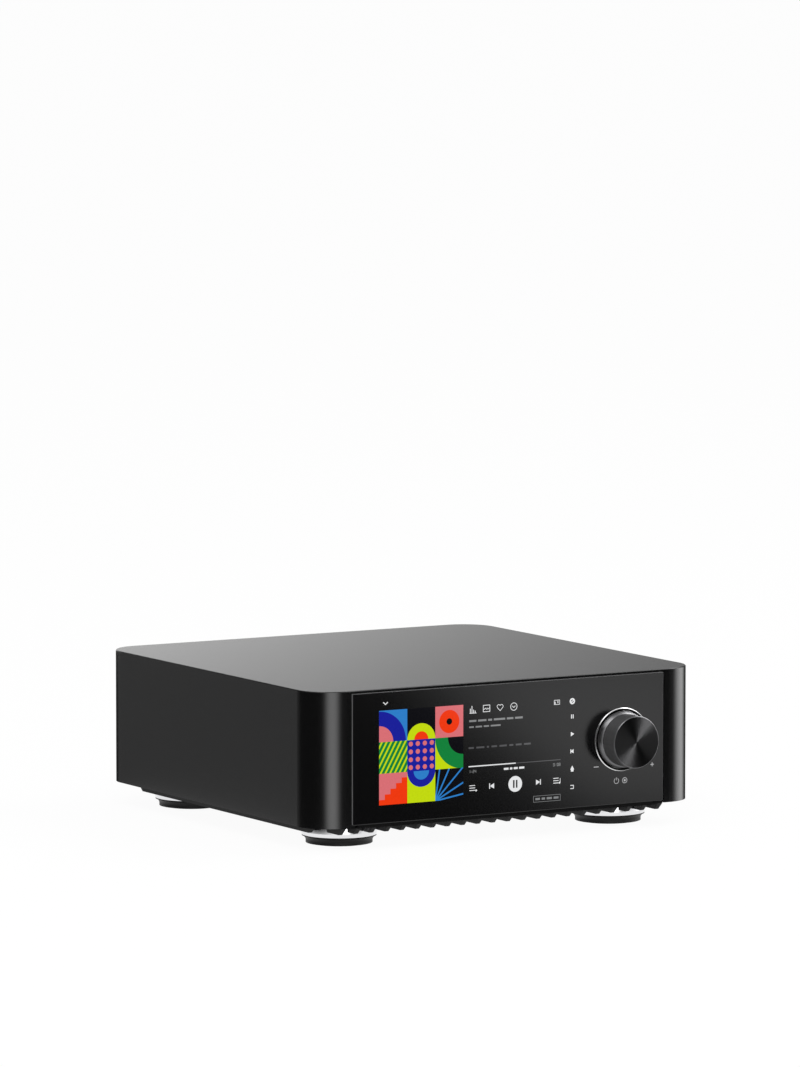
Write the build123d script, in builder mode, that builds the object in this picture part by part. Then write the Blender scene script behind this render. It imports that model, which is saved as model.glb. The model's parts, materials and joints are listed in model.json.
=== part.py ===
from build123d import *
import os
from math import cos, radians, sin

os.makedirs("parts", exist_ok=True)

# A network music streamer. Sizes are in millimetres and degrees. X runs to the right as the user
# sees the front, Y to the back and Z up. The floor is at zero, and the origin is under the middle
# of everything that stands on it, knob and rear sockets included.

# Case: a machined shell with open front, back and underside
case_width = 250.0
case_depth = 247.6
case_height = 76.2
case_corner = 20.0
case_lift = 13.6  # underside of the case above the floor
case_wall = 5.0
case_roof = 3.0
case_edge_break = 0.4
case_lip = 1.2  # what the roof shows above the glass
land_width = 4.0  # ledge that the glass and the rear panel lie on
post_inset = 13.5  # screw posts from the case's outer faces
post_radius = 8.0
post_height = 24.0

# Clearances
overrun = 1.0  # how far a cutter runs past what it cuts
fit_gap = 0.3  # between fixed pieces that lie side by side
pocket_gap = 0.2  # round a flat piece in its pocket
screw_gap = 0.05  # round a screw in its hole
run_gap = 0.05  # round a turning or sliding shaft

# Front glass
glass_side = 3.65  # flat front between the case's corner and the glass
glass_thickness = 3.0
glass_rise = 1.2  # lower edge above the underside of the case
glass_gap = 0.4
glass_corner = 0.8
glass_bevel = 0.45

# Base plate with its fins
flange_thickness = 2.4
land_drop = 1.2  # how far the plate stands below the case
fin_height = 3.8
fin_pitch = 9.82
fin_side_inset = 12.0  # outermost fins from the case's sides, at least
fin_root = 3.0
fin_tip = 2.35
fin_end_inset = 10.0  # tips of the long fins from the case's front and back
side_fin_end_inset = 26.7  # the same for the outermost, shorter fins
fin_clear_radius = 22.0  # fins cut away round each foot
boss_radius = 6.0
boss_height = 4.0

# Feet
foot_side_inset = 37.0
foot_end_inset = 38.0
foot_base_radius = 18.7
foot_base_height = 2.1
foot_rim_radius = 20.9
foot_rim_height = 5.2
foot_lip = 0.7  # upright edge of the rim
foot_flare_radius = 3.2
foot_spigot_radius = 16.8
foot_seat_height = 6.4  # where the screw head bears
foot_step_height = 9.4  # top of the spigot
ring_low_radius = 21.1
ring_top_radius = 21.6
ring_bulge_height = 7.2
ring_wall_gap = 0.2
pad_radius = 16.0
pad_thickness = 1.5
pad_proud = 0.5

# Volume knob, its trim ring and what it turns
knob_inset = 27.65  # centre from the right edge of the glass
knob_reach = 15.6  # face in front of the glass
knob_radius = 14.75
knob_foot_radius = 16.2
knob_foot_start = 0.5
knob_foot_rim = 0.5
knob_flare_end = 3.5
knob_flare_radius = 4.0
knob_groove_width = 0.35
knob_groove_depth = 0.5
knob_chamfer = 0.38
knob_pocket_radius = 8.0
knob_pocket_depth = 3.8
knob_bore_depth = 12.6
push_travel = 0.8
ring_outer_radius = 18.0
ring_inner_radius = 16.6
ring_proud = 0.9
ring_bevel = 0.6
ring_slope_depth = 0.8  # from its crown down into the well
well_depth = 1.2
glass_hole_radius = 17.0
bushing_radius = 4.5
bushing_reach = 1.8  # threaded end in front of the glass
nut_size = 12.0  # across flats
nut_thickness = 2.2
shaft_radius = 3.0
shaft_flat_offset = 1.5
shaft_reach = 12.6
encoder_size = 17.0
encoder_depth = 6.0
encoder_front = 1.5
encoder_cavity_radius = 7.4
wheel_radius = 7.0
wheel_thickness = 1.2
wheel_clear = 0.9
wheel_slots = 12
wheel_slot_width = 0.9
wheel_slot_depth = 1.6
plunger_radius = 2.0
plunger_length = 3.6
plunger_proud = 0.6
switch_size = 17.0
switch_depth = 5.0
switch_bore_depth = 4.2

# Inner bracket, display and key board
bracket_thickness = 4.2
bracket_pocket = 2.8
bracket_foot_length = 12.0
bracket_foot_thickness = 2.0
bracket_foot_width = 150.0
bracket_screw_pitch = 60.0
display_thickness = 2.5
display_inset = 12.35  # from the left edge of the glass
display_side_gap = 0.3
display_key_gap = 1.2
keys_width = 12.4
keys_spacing = 28.3  # middle of the key column from the knob's centre
guide_thickness = 1.2
key_board_thickness = 1.2
key_count = 6
key_pitch = 10.0
key_window = 2.2
key_light_size = 1.6
key_light_height = 0.8
ribbon_width = 12.0
ribbon_thickness = 0.4
ribbon_bend = 5.0
ribbon_slot_height = 3.0
ribbon_rise = 22.0
ribbon_run = 12.0

# Rear panel. Places along it are shares of its window's width, counted from the middle, and
# heights are shares of its height.
rear_shares = {
    "mains": -0.393,
    "lan": -0.232,
    "usb": -0.124,
    "trigger": -0.073,
    "hdmi": -0.017,
    "coax_in": 0.008,
    "optical_in": 0.075,
    "coax_out": 0.099,
    "optical_out": 0.15,
    "right": 0.233,
    "left": 0.41,
}
height_shares = {"phono": 0.272, "inlet": 0.331, "coax": 0.596, "xlr": 0.664, "switch": 0.711}
panel_inset = 1.2
panel_thickness = 2.0
panel_rise = 1.2  # lower edge above the underside of the case
panel_gap = 0.3
panel_corner = 1.0
panel_land = 6.0
panel_screw_inset = 3.0
panel_screw_shares = (0.12, 0.5, 0.88)  # of the panel's height

# Screws: shank radius, head radius, head height
small_shank = 1.25
small_head = 2.4
small_head_height = 1.4
small_screw_length = 4.0
base_shank = 1.45
base_head = 2.8
base_head_height = 1.35
base_screw_length = 12.0
foot_shank = 1.95
foot_head = 3.8
foot_head_height = 2.6

# Boards and their standoffs
standoff_height = 7.0
standoff_size = 5.5  # across flats
standoff_stud = 2.0
board_thickness = 1.6
board_margin = 4.0  # standoffs from the board's sides and front edge
board_back_margin = 24.0  # the same from its back edge, clear of the sockets
main_board_depth = 128.0
power_board_inset = 20.0  # from the inside of the case's left wall
power_board_width = 36.0
power_board_depth = 140.0
power_board_gap = 1.5  # to the main board
analog_board_inset = 19.0  # from the inside of the case's right wall
analog_board_width = 63.0
analog_board_depth = 110.0
analog_board_gap = 4.0  # to the main board
sink_size = 40.0
sink_base = 3.0
sink_height = 16.0
sink_fin = 1.4
sink_fin_count = 7
sink_inset = 62.0
transformer_width = 32.0
transformer_depth = 28.0
transformer_height = 24.0
transformer_corner = 2.8
transformer_inset = 95.0
capacitor_radius = 8.0
capacitor_height = 28.0
capacitor_pitch = 17.0
capacitor_inset = 60.0
capacitor_edge = 0.6
shield_width = 42.0
shield_depth = 36.0
shield_height = 7.0
shield_wall = 0.6
shield_inset = 60.0
socket_block_width = 14.0
socket_block_depth = 5.0
socket_block_height = 2.6

# Phono sockets
phono_sleeve_radius = 4.15
phono_sleeve_length = 9.0
phono_flange_radius = 6.2
phono_flange_thickness = 1.2
phono_shank_radius = 4.7
phono_shank_length = 9.0
phono_nut_radius = 6.6
phono_nut_thickness = 2.4
phono_mouth_radius = 3.4
phono_mouth_depth = 1.2
phono_bore_radius = 1.65
phono_bore_depth = 8.0

# Balanced sockets
xlr_flange_width = 26.0
xlr_flange_height = 31.0
xlr_flange_thickness = 2.0
xlr_flange_corner = 3.0
xlr_barrel_radius = 11.0
xlr_barrel_length = 16.0
xlr_cup_radius = 8.2
xlr_cup_depth = 13.0
xlr_key_width = 2.4
xlr_key_height = 0.9
xlr_pin_radius = 1.2
xlr_pin_length = 11.0
xlr_pin_circle = 4.57
xlr_pin_angles = (35, 145, 270)
xlr_screw_x = 9.5
xlr_screw_z = 12.0

# Network, storage, video and trigger sockets
socket_proud = 0.5  # metal shells in front of the panel
lan_width = 16.0
lan_height = 13.6
lan_length = 21.3
lan_mouth_width = 11.9
lan_mouth_height = 7.6
lan_mouth_depth = 12.5
lan_mouth_rise = 3.2
lan_key_width = 6.2
lan_key_height = 1.6
usb_width = 15.0
usb_height = 16.0
usb_length = 17.5
usb_mouth_width = 12.6
usb_mouth_height = 5.3
usb_mouth_pitch = 7.6
usb_mouth_depth = 11.5
usb_tongue_width = 11.2
usb_tongue_height = 1.9
usb_tongue_length = 10.0
hdmi_width = 15.6
hdmi_height = 6.4
hdmi_length = 11.5
hdmi_mouth_width = 14.0
hdmi_mouth_height = 4.6
hdmi_mouth_depth = 8.5
hdmi_mouth_cut = 1.4
hdmi_tongue_width = 11.2
hdmi_tongue_height = 1.3
hdmi_tongue_length = 7.2
trigger_collar_radius = 4.2
trigger_collar_length = 1.4
trigger_bore_radius = 1.8
trigger_bore_depth = 14.0
trigger_body_width = 9.0
trigger_body_height = 8.0
trigger_body_length = 14.0
trigger_neck_radius = 3.0

# Optical sockets and their shutters
optical_width = 10.6
optical_height = 11.0
optical_length = 15.0
optical_mouth = 8.0
optical_depth = 9.5
optical_proud = 0.5
optical_tip_radius = 1.0
optical_tip_length = 0.7
shutter_set_back = 1.6
shutter_drop = 0.9  # hinge below the mouth's ceiling
shutter_thickness = 0.8
shutter_side_gap = 0.25
shutter_foot_gap = 0.5
shutter_knuckle = 0.55
shutter_pin_radius = 0.45
shutter_pin_reach = 0.6

# Mains inlet and power switch
inlet_flange_width = 31.0
inlet_flange_height = 24.0
inlet_flange_thickness = 2.2
inlet_flange_corner = 2.0
inlet_body_width = 27.4
inlet_body_height = 20.2
inlet_body_length = 19.0
inlet_mouth_width = 24.2
inlet_mouth_height = 16.6
inlet_mouth_cut = 4.2
inlet_mouth_depth = 16.0
inlet_pin_width = 2.0
inlet_pin_height = 4.0
inlet_pin_length = 14.0
inlet_pin_spread = 7.0
inlet_pin_drop = 2.0
inlet_tab_length = 7.0
inlet_tab_width = 4.8
inlet_tab_thickness = 0.8
switch_flange_width = 15.4
switch_flange_height = 21.4
switch_flange_thickness = 1.6
switch_flange_corner = 1.5
switch_body_width = 12.8
switch_body_height = 19.4
switch_body_length = 14.0
switch_cavity_width = 10.8
switch_cavity_height = 17.8
switch_cavity_depth = 8.5
rocker_width = 10.4
rocker_half_height = 8.2
rocker_valley = 1.0
rocker_peak = 2.6
rocker_shoulder = 0.6
rocker_shoulder_inset = 0.6
rocker_skirt_depth = 4.6
rocker_skirt_half = 3.0
rocker_pivot_depth = 1.0
rocker_pin_radius = 1.0
rocker_pin_reach = 0.7
rocker_tilt = 8.0  # degrees each way from level
wire_radius = 0.9
wire_bend = 5.0
wire_run = 12.0  # from the tabs forward to where a lead turns down
switch_wire_spread = 3.0

# Levels and depths that the pieces share
case_bottom = case_lift
case_top = case_bottom + case_height
land_z = case_bottom - land_drop
plate_top = case_bottom + flange_thickness
board_bottom = plate_top + standoff_height
board_top = board_bottom + board_thickness
glass_bottom = case_bottom + glass_rise
glass_top = case_top - case_lip - glass_gap
rebate_top = case_top - case_lip
ceiling = case_top - case_roof
socket_reach = phono_sleeve_length - panel_inset  # phono sockets behind the case
front_y = (knob_reach - case_depth - socket_reach) / 2
back_y = front_y + case_depth
case_mid_y = (front_y + back_y) / 2
panel_out = back_y - panel_inset
panel_in = panel_out - panel_thickness
glass_width = case_width - 2 * (case_corner + glass_side)
glass_back = front_y + glass_thickness
bracket_back = glass_back + bracket_thickness
knob_x = glass_width / 2 - knob_inset
knob_z = (glass_bottom + glass_top) / 2
keys_x = knob_x - keys_spacing
display_left = display_inset - glass_width / 2
display_right = keys_x - keys_width / 2 - display_key_gap
display_width = display_right - display_left
display_x = (display_left + display_right) / 2
display_bottom = plate_top + 2 * fit_gap
display_height = ceiling - 2 * fit_gap - display_bottom
rebate_width = glass_width + 2 * glass_gap
window_width = rebate_width - 2 * land_width
fin_count = int((case_width - 2 * fin_side_inset) / fin_pitch) - 1  # long fins between the side ones
fin_row_width = (fin_count - 1) * fin_pitch + fin_root
side_fin_x = (fin_count + 1) * fin_pitch / 2
power_board_left = case_wall + power_board_inset - case_width / 2
main_board_left = power_board_left + power_board_width + power_board_gap
analog_board_right = case_width / 2 - case_wall - analog_board_inset
main_board_right = analog_board_right - analog_board_width - analog_board_gap
main_board_width = main_board_right - main_board_left
power_board_x = power_board_left + power_board_width / 2
main_board_x = (main_board_left + main_board_right) / 2
analog_board_x = analog_board_right - analog_board_width / 2
post_x = case_width / 2 - post_inset
post_y = case_depth / 2 - post_inset
post_spots = [(sx * post_x, case_mid_y + sy * post_y) for sx in (-1, 1) for sy in (-1, 1)]
foot_x = case_width / 2 - foot_side_inset
foot_spots = {
    "front_left": (-foot_x, front_y + foot_end_inset),
    "front_right": (foot_x, front_y + foot_end_inset),
    "back_left": (-foot_x, back_y - foot_end_inset),
    "back_right": (foot_x, back_y - foot_end_inset),
}

stand = (Align.CENTER, Align.MIN)  # a rectangle that stands on its place
hang = (Align.CENTER, Align.MAX)
corner = (Align.MIN, Align.MIN)


def across(y):  # upright plane at depth y, facing the front, with local x and y along X and Z
    return Plane.XZ.offset(-y)


def level(z):  # level plane at height z
    return Plane.XY.offset(z)


def below(x, y, z):  # level plane at a point, facing down
    return Plane(origin=(x, y, z), x_dir=(1, 0, 0), z_dir=(0, 0, -1))


def round_z(x, y):  # radius and height, for what is turned about an upright axis at x, y
    return Plane(origin=(x, y, 0), x_dir=(1, 0, 0), z_dir=(0, -1, 0))


def round_front(x, z):  # radius and distance in front of the glass, round a point of the front
    return Plane(origin=(x, front_y, z), x_dir=(1, 0, 0), z_dir=(0, 0, -1))


def round_back(x, z):  # radius and distance behind the rear panel, round a point of the panel
    return Plane(origin=(x, panel_out, z), x_dir=(1, 0, 0), z_dir=(0, 0, 1))


def side_view(x, y, z):  # local x and y along Y and Z, facing right
    return Plane(origin=(x, y, z), x_dir=(0, 1, 0), z_dir=(1, 0, 0))


def save(piece, name):
    piece.part.label = name
    export_step(piece.part, f"parts/{name}.step")


# Case shell
panel_width = rebate_width - 2 * panel_gap
panel_window = rebate_width - 2 * panel_land
panel_seat = panel_inset + panel_thickness
panel_bottom = case_bottom + panel_rise
panel_height = rebate_top - panel_gap - panel_bottom
panel_screw_x = panel_width / 2 - panel_screw_inset
panel_screw_z = [panel_bottom + panel_height * share for share in panel_screw_shares]
panel_screws_at = [(sx * panel_screw_x, z) for sx in (-1, 1) for z in panel_screw_z]

with BuildPart() as case_shell:
    with BuildSketch(level(case_bottom)):
        with Locations((0, case_mid_y)):
            RectangleRounded(case_width, case_depth, case_corner)
    extrude(amount=case_height)
    chamfer(case_shell.faces().sort_by(Axis.Z)[-1].edges(), case_edge_break)
    with BuildSketch(level(case_bottom)):
        with Locations((0, case_mid_y)):
            RectangleRounded(
                case_width - 2 * case_wall, case_depth - 2 * case_wall, case_corner - case_wall
            )
    extrude(amount=case_height - case_roof, mode=Mode.SUBTRACT)
    with BuildSketch(level(plate_top)):
        with Locations(*post_spots):
            Circle(post_radius)
    extrude(amount=post_height)
    with BuildSketch(level(plate_top)):
        with Locations(*post_spots):
            Circle(base_shank + screw_gap)
    extrude(amount=base_screw_length, mode=Mode.SUBTRACT)
    with BuildSketch(across(front_y)):
        with Locations((0, case_bottom - overrun)):
            Rectangle(rebate_width, rebate_top - case_bottom + overrun, align=stand)
    extrude(amount=-glass_thickness, mode=Mode.SUBTRACT)
    with BuildSketch(across(front_y)):
        with Locations((0, case_bottom - overrun)):
            Rectangle(window_width, ceiling - case_bottom + overrun, align=stand)
    extrude(amount=-case_wall, mode=Mode.SUBTRACT)
    with BuildSketch(across(back_y)):
        with Locations((0, case_bottom - overrun)):
            Rectangle(rebate_width, rebate_top - case_bottom + overrun, align=stand)
    extrude(amount=panel_seat, mode=Mode.SUBTRACT)
    with BuildSketch(across(back_y)):
        with Locations((0, case_bottom - overrun)):
            Rectangle(panel_window, ceiling - case_bottom + overrun, align=stand)
    extrude(amount=case_wall, mode=Mode.SUBTRACT)
    with BuildSketch(across(panel_in)):
        with Locations(*panel_screws_at):
            Circle(small_shank + screw_gap)
    extrude(amount=case_wall, mode=Mode.SUBTRACT)
save(case_shell, "case_shell")

# Base plate: a flange inside the case, a land below it and fins cut away round the feet
plate_thickness = flange_thickness + land_drop
tongue_front = glass_back + fit_gap
tongue_back = panel_in - fit_gap
tongue_width = min(window_width, panel_window) - 2 * fit_gap
fin_root_end = fin_end_inset - fin_height
side_fin_root_end = side_fin_end_inset - fin_height
board_spots = {
    "mainboard": (main_board_x, main_board_width, main_board_depth),
    "psu_board": (power_board_x, power_board_width, power_board_depth),
    "analog_board": (analog_board_x, analog_board_width, analog_board_depth),
}
board_back = back_y - case_wall - fit_gap
standoff_spots = [
    (x + side * (width / 2 - board_margin), y)
    for x, width, depth in board_spots.values()
    for side in (-1, 1)
    for y in (board_back - depth + board_margin, board_back - board_back_margin)
]
bracket_screw_y = bracket_back + bracket_foot_length / 2
bracket_spots = [(step * bracket_screw_pitch, bracket_screw_y) for step in (-1, 0, 1)]

with BuildPart() as long_fin:
    with BuildSketch(level(land_z)):
        with Locations((0, case_mid_y)):
            Rectangle(fin_root, case_depth - 2 * fin_root_end)
    with BuildSketch(level(land_z - fin_height)):
        with Locations((0, case_mid_y)):
            Rectangle(fin_tip, case_depth - 2 * fin_end_inset)
    loft(ruled=True)

with BuildPart() as side_fin:
    with BuildSketch(level(land_z)):
        with Locations((0, case_mid_y)):
            Rectangle(fin_root, case_depth - 2 * side_fin_root_end)
    with BuildSketch(level(land_z - fin_height)):
        with Locations((0, case_mid_y)):
            Rectangle(fin_tip, case_depth - 2 * side_fin_end_inset)
    loft(ruled=True)

with BuildPart() as base_plate:
    with GridLocations(fin_pitch, 0, fin_count, 1):
        add(long_fin.part)
    with GridLocations(2 * side_fin_x, 0, 2, 1):
        add(side_fin.part)
    with BuildSketch(level(land_z - fin_height - overrun)):
        with Locations(*foot_spots.values()):
            Circle(fin_clear_radius)
    extrude(amount=fin_height + overrun, mode=Mode.SUBTRACT)
    with BuildSketch(level(land_z)):
        with Locations((0, case_mid_y)):
            Rectangle(fin_row_width, case_depth - 2 * fin_root_end)
            Rectangle(2 * side_fin_x + fin_root, case_depth - 2 * side_fin_root_end)
        with Locations((0, tongue_front)):
            Rectangle(tongue_width, tongue_back - tongue_front, align=stand)
    extrude(amount=land_drop)
    with BuildSketch(level(case_bottom)):
        with Locations((0, case_mid_y)):
            RectangleRounded(
                case_width - 2 * (case_wall + fit_gap),
                case_depth - 2 * (case_wall + fit_gap),
                case_corner - case_wall - fit_gap,
            )
        with Locations((0, tongue_front)):
            Rectangle(tongue_width, tongue_back - tongue_front, align=stand)
    extrude(amount=flange_thickness)
    with BuildSketch(level(plate_top)):
        with Locations(*foot_spots.values()):
            Circle(boss_radius)
    extrude(amount=boss_height)
    with BuildSketch(level(land_z)):
        with Locations(*foot_spots.values()):
            Circle(foot_shank + screw_gap)
    extrude(amount=plate_thickness + boss_height, mode=Mode.SUBTRACT)
    with BuildSketch(level(plate_top)):
        with Locations(*standoff_spots, *bracket_spots):
            Circle(small_shank + screw_gap)
    extrude(amount=-flange_thickness, mode=Mode.SUBTRACT)
    with Locations(*[below(x, y, case_bottom) for x, y in post_spots]):
        CounterSinkHole(base_shank + screw_gap, base_head + screw_gap, depth=flange_thickness)
save(base_plate, "base_plate")

with BuildPart() as base_screws:
    for x, y in post_spots:
        with BuildSketch(round_z(x, y)):
            with BuildLine():
                Polyline(
                    (0, case_bottom),
                    (base_head, case_bottom),
                    (base_shank, case_bottom + base_head_height),
                    (base_shank, plate_top + base_screw_length),
                    (0, plate_top + base_screw_length),
                    close=True,
                )
            make_face()
        revolve(axis=Axis((x, y, 0), (0, 0, 1)))
save(base_screws, "base_screws")

# Feet: a bright collar against the plate, a flared black foot in it, a rubber pad below
for name, (x, y) in foot_spots.items():
    foot_axis = Axis((x, y, 0), (0, 0, 1))
    ring_bore = foot_spigot_radius + ring_wall_gap
    with BuildPart() as foot_ring:
        with BuildSketch(round_z(x, y)):
            with BuildLine():
                Polyline(
                    (foot_shank + screw_gap, land_z),
                    (foot_shank + screw_gap, foot_step_height),
                    (ring_bore, foot_step_height),
                    (ring_bore, foot_rim_height),
                    (ring_low_radius, foot_rim_height),
                    (ring_top_radius, ring_bulge_height),
                    (ring_top_radius, land_z),
                    close=True,
                )
            make_face()
        revolve(axis=foot_axis)
    save(foot_ring, f"foot_ring_{name}")

    with BuildPart() as foot_body:
        with BuildSketch(round_z(x, y)):
            with BuildLine():
                Polyline(
                    (foot_rim_radius, foot_rim_height),
                    (foot_spigot_radius, foot_rim_height),
                    (foot_spigot_radius, foot_step_height),
                    (foot_shank + screw_gap, foot_step_height),
                    (foot_shank + screw_gap, foot_seat_height),
                    (foot_head + pocket_gap, foot_seat_height),
                    (foot_head + pocket_gap, pad_thickness),
                    (pad_radius + pocket_gap, pad_thickness),
                    (pad_radius + pocket_gap, pad_proud),
                    (foot_base_radius, pad_proud),
                    (foot_base_radius, foot_base_height),
                )
                RadiusArc(
                    (foot_base_radius, foot_base_height),
                    (foot_rim_radius, foot_rim_height - foot_lip),
                    foot_flare_radius,
                )
                Line(
                    (foot_rim_radius, foot_rim_height - foot_lip),
                    (foot_rim_radius, foot_rim_height),
                )
            make_face()
        revolve(axis=foot_axis)
    save(foot_body, f"foot_body_{name}")

    with BuildPart() as foot_pad:
        with BuildSketch(level(0)):
            with Locations((x, y)):
                Circle(pad_radius)
        extrude(amount=pad_thickness)
    save(foot_pad, f"foot_pad_{name}")

with BuildPart() as foot_screws:
    with BuildSketch(level(foot_seat_height)):
        with Locations(*foot_spots.values()):
            Circle(foot_head)
    extrude(amount=-foot_head_height)
    with BuildSketch(level(foot_seat_height)):
        with Locations(*foot_spots.values()):
            Circle(foot_shank)
    extrude(amount=plate_top + boss_height - foot_seat_height)
save(foot_screws, "foot_screws")

# Front glass with the hole for the knob's ring
with BuildPart() as front_glass:
    with BuildSketch(across(front_y)):
        with Locations((0, glass_bottom)):
            RectangleRounded(glass_width, glass_top - glass_bottom, glass_corner, align=stand)
        with Locations((knob_x, knob_z)):
            Circle(glass_hole_radius, mode=Mode.SUBTRACT)
    extrude(amount=-glass_thickness)
    chamfer(front_glass.faces().sort_by(Axis.Y)[0].outer_wire().edges(), glass_bevel)
save(front_glass, "front_glass")

# Inner bracket: an upright plate behind the glass with a foot on the base plate
bracket_top = ceiling - fit_gap
keys_z = display_bottom + display_height / 2
ribbon_z = case_bottom + ribbon_rise
with BuildPart() as front_bracket:
    with BuildSketch(across(glass_back)):
        with Locations((0, plate_top)):
            Rectangle(window_width - 2 * fit_gap, bracket_top - plate_top, align=stand)
        with Locations((knob_x, knob_z)):
            Circle(bushing_radius + screw_gap, mode=Mode.SUBTRACT)
    extrude(amount=-bracket_thickness)
    with BuildSketch(across(glass_back)):
        with Locations((display_x, plate_top)):
            Rectangle(display_width + 2 * display_side_gap, bracket_top - plate_top, align=stand)
        with Locations((keys_x, keys_z)):
            Rectangle(keys_width + 2 * pocket_gap, display_height + 2 * pocket_gap)
    extrude(amount=-bracket_pocket, mode=Mode.SUBTRACT)
    with BuildSketch(across(bracket_back)):
        with Locations((0, plate_top)):
            Rectangle(bracket_foot_width, bracket_foot_thickness, align=stand)
    extrude(amount=-bracket_foot_length)
    with BuildSketch(across(glass_back)):
        with Locations((display_x, ribbon_z)):
            Rectangle(ribbon_width + 2 * fit_gap, ribbon_slot_height)
    extrude(amount=-bracket_thickness, mode=Mode.SUBTRACT)
    with BuildSketch(level(plate_top)):
        with Locations(*bracket_spots):
            Circle(small_shank + screw_gap)
    extrude(amount=bracket_foot_thickness, mode=Mode.SUBTRACT)
save(front_bracket, "front_bracket")

with BuildPart() as bracket_screws:
    with BuildSketch(level(plate_top + bracket_foot_thickness)):
        with Locations(*bracket_spots):
            Circle(small_head)
    extrude(amount=small_head_height)
    with BuildSketch(level(plate_top)):
        with Locations(*bracket_spots):
            Circle(small_shank)
    extrude(amount=bracket_foot_thickness)
    with BuildSketch(level(plate_top)):
        with Locations(*bracket_spots):
            Circle(small_shank)
    extrude(amount=screw_gap - flange_thickness)
save(bracket_screws, "bracket_screws")

with BuildPart() as display_panel:
    with BuildSketch(across(glass_back)):
        with Locations((display_x, display_bottom)):
            Rectangle(display_width, display_height, align=stand)
    extrude(amount=-display_thickness)
save(display_panel, "display_panel")

with BuildPart() as key_light_guide:
    with BuildSketch(across(glass_back)):
        with Locations((keys_x, keys_z)):
            Rectangle(keys_width, display_height)
            with GridLocations(0, key_pitch, 1, key_count):
                Rectangle(key_window, key_window, mode=Mode.SUBTRACT)
    extrude(amount=-guide_thickness)
save(key_light_guide, "key_light_guide")

with BuildPart() as touch_board:
    with BuildSketch(across(glass_back + guide_thickness)):
        with Locations((keys_x, keys_z)):
            Rectangle(keys_width, display_height)
    extrude(amount=-key_board_thickness)
    with BuildSketch(across(glass_back + guide_thickness)):
        with Locations((keys_x, keys_z)):
            with GridLocations(0, key_pitch, 1, key_count):
                Rectangle(key_light_size, key_light_size)
    extrude(amount=key_light_height)
save(touch_board, "touch_board")

# Knob, ring and encoder, all about one axis; distances count forwards from the glass
knob_axis = Axis((knob_x, front_y, knob_z), (0, -1, 0))
bracket_face = -glass_thickness
encoder_face = bracket_face - bracket_thickness
encoder_back = encoder_face - encoder_depth
wheel_front = encoder_face - encoder_front - wheel_clear
wheel_back = wheel_front - wheel_thickness
plunger_front = encoder_back + plunger_proud

with BuildPart() as knob_ring:
    with BuildSketch(round_front(knob_x, knob_z)):
        with BuildLine():
            Polyline(
                (bushing_radius + screw_gap, bracket_face),
                (glass_hole_radius - ring_wall_gap, bracket_face),
                (glass_hole_radius - ring_wall_gap, 0),
                (ring_outer_radius, 0),
                (ring_outer_radius, ring_proud - ring_bevel),
                (ring_outer_radius - ring_bevel, ring_proud),
                (ring_inner_radius, ring_proud - ring_slope_depth),
                (ring_inner_radius, -well_depth),
                (bushing_radius + screw_gap, -well_depth),
                close=True,
            )
        make_face()
    revolve(axis=knob_axis)
save(knob_ring, "knob_ring")

with BuildPart() as encoder_nut:
    with BuildSketch(across(front_y + well_depth)):
        with Locations((knob_x, knob_z)):
            RegularPolygon(nut_size / 2, 6, major_radius=False)
            Circle(bushing_radius + screw_gap, mode=Mode.SUBTRACT)
    extrude(amount=nut_thickness)
save(encoder_nut, "encoder_nut")

with BuildPart() as knob:
    with BuildSketch(round_front(knob_x, knob_z)):
        with BuildLine():
            Polyline(
                (knob_radius, knob_flare_end + knob_groove_width),
                (knob_radius, knob_reach - knob_chamfer),
                (knob_radius - knob_chamfer, knob_reach),
                (0, knob_reach),
                (0, knob_foot_start + knob_pocket_depth),
                (knob_pocket_radius, knob_foot_start + knob_pocket_depth),
                (knob_pocket_radius, knob_foot_start),
                (knob_foot_radius, knob_foot_start),
                (knob_foot_radius, knob_foot_start + knob_foot_rim),
            )
            RadiusArc(
                (knob_foot_radius, knob_foot_start + knob_foot_rim),
                (knob_radius, knob_flare_end),
                -knob_flare_radius,
            )
            Polyline(
                (knob_radius, knob_flare_end),
                (knob_radius - knob_groove_depth, knob_flare_end),
                (knob_radius - knob_groove_depth, knob_flare_end + knob_groove_width),
                (knob_radius, knob_flare_end + knob_groove_width),
            )
        make_face()
    revolve(axis=knob_axis)
    with BuildSketch(across(front_y - shaft_reach - screw_gap)):
        with Locations((knob_x, knob_z)):
            Circle(shaft_radius + screw_gap)
            with Locations((shaft_flat_offset + screw_gap, 0)):
                Rectangle(
                    shaft_radius * 2,
                    shaft_radius * 4,
                    align=(Align.MIN, Align.CENTER),
                    mode=Mode.SUBTRACT,
                )
    extrude(amount=-knob_bore_depth, mode=Mode.SUBTRACT)
save(knob, "knob")

with BuildPart() as encoder_shaft:
    with BuildSketch(across(front_y - shaft_reach)):
        with Locations((knob_x, knob_z)):
            Circle(shaft_radius)
    extrude(amount=wheel_back - shaft_reach)
    with BuildSketch(across(front_y - shaft_reach)):
        with Locations((knob_x + shaft_flat_offset, knob_z)):
            Rectangle(shaft_radius * 2, shaft_radius * 4, align=(Align.MIN, Align.CENTER))
    extrude(amount=bushing_reach + push_travel - shaft_reach, mode=Mode.SUBTRACT)
    with BuildSketch(across(front_y - wheel_front)):
        with Locations((knob_x, knob_z)):
            Circle(wheel_radius)
            with PolarLocations(wheel_radius, wheel_slots):
                Rectangle(2 * wheel_slot_depth, wheel_slot_width, mode=Mode.SUBTRACT)
    extrude(amount=-wheel_thickness)
    with BuildSketch(across(front_y - wheel_back)):
        with Locations((knob_x, knob_z)):
            Circle(plunger_radius)
    extrude(amount=plunger_front - wheel_back)
save(encoder_shaft, "encoder_shaft")

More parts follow.
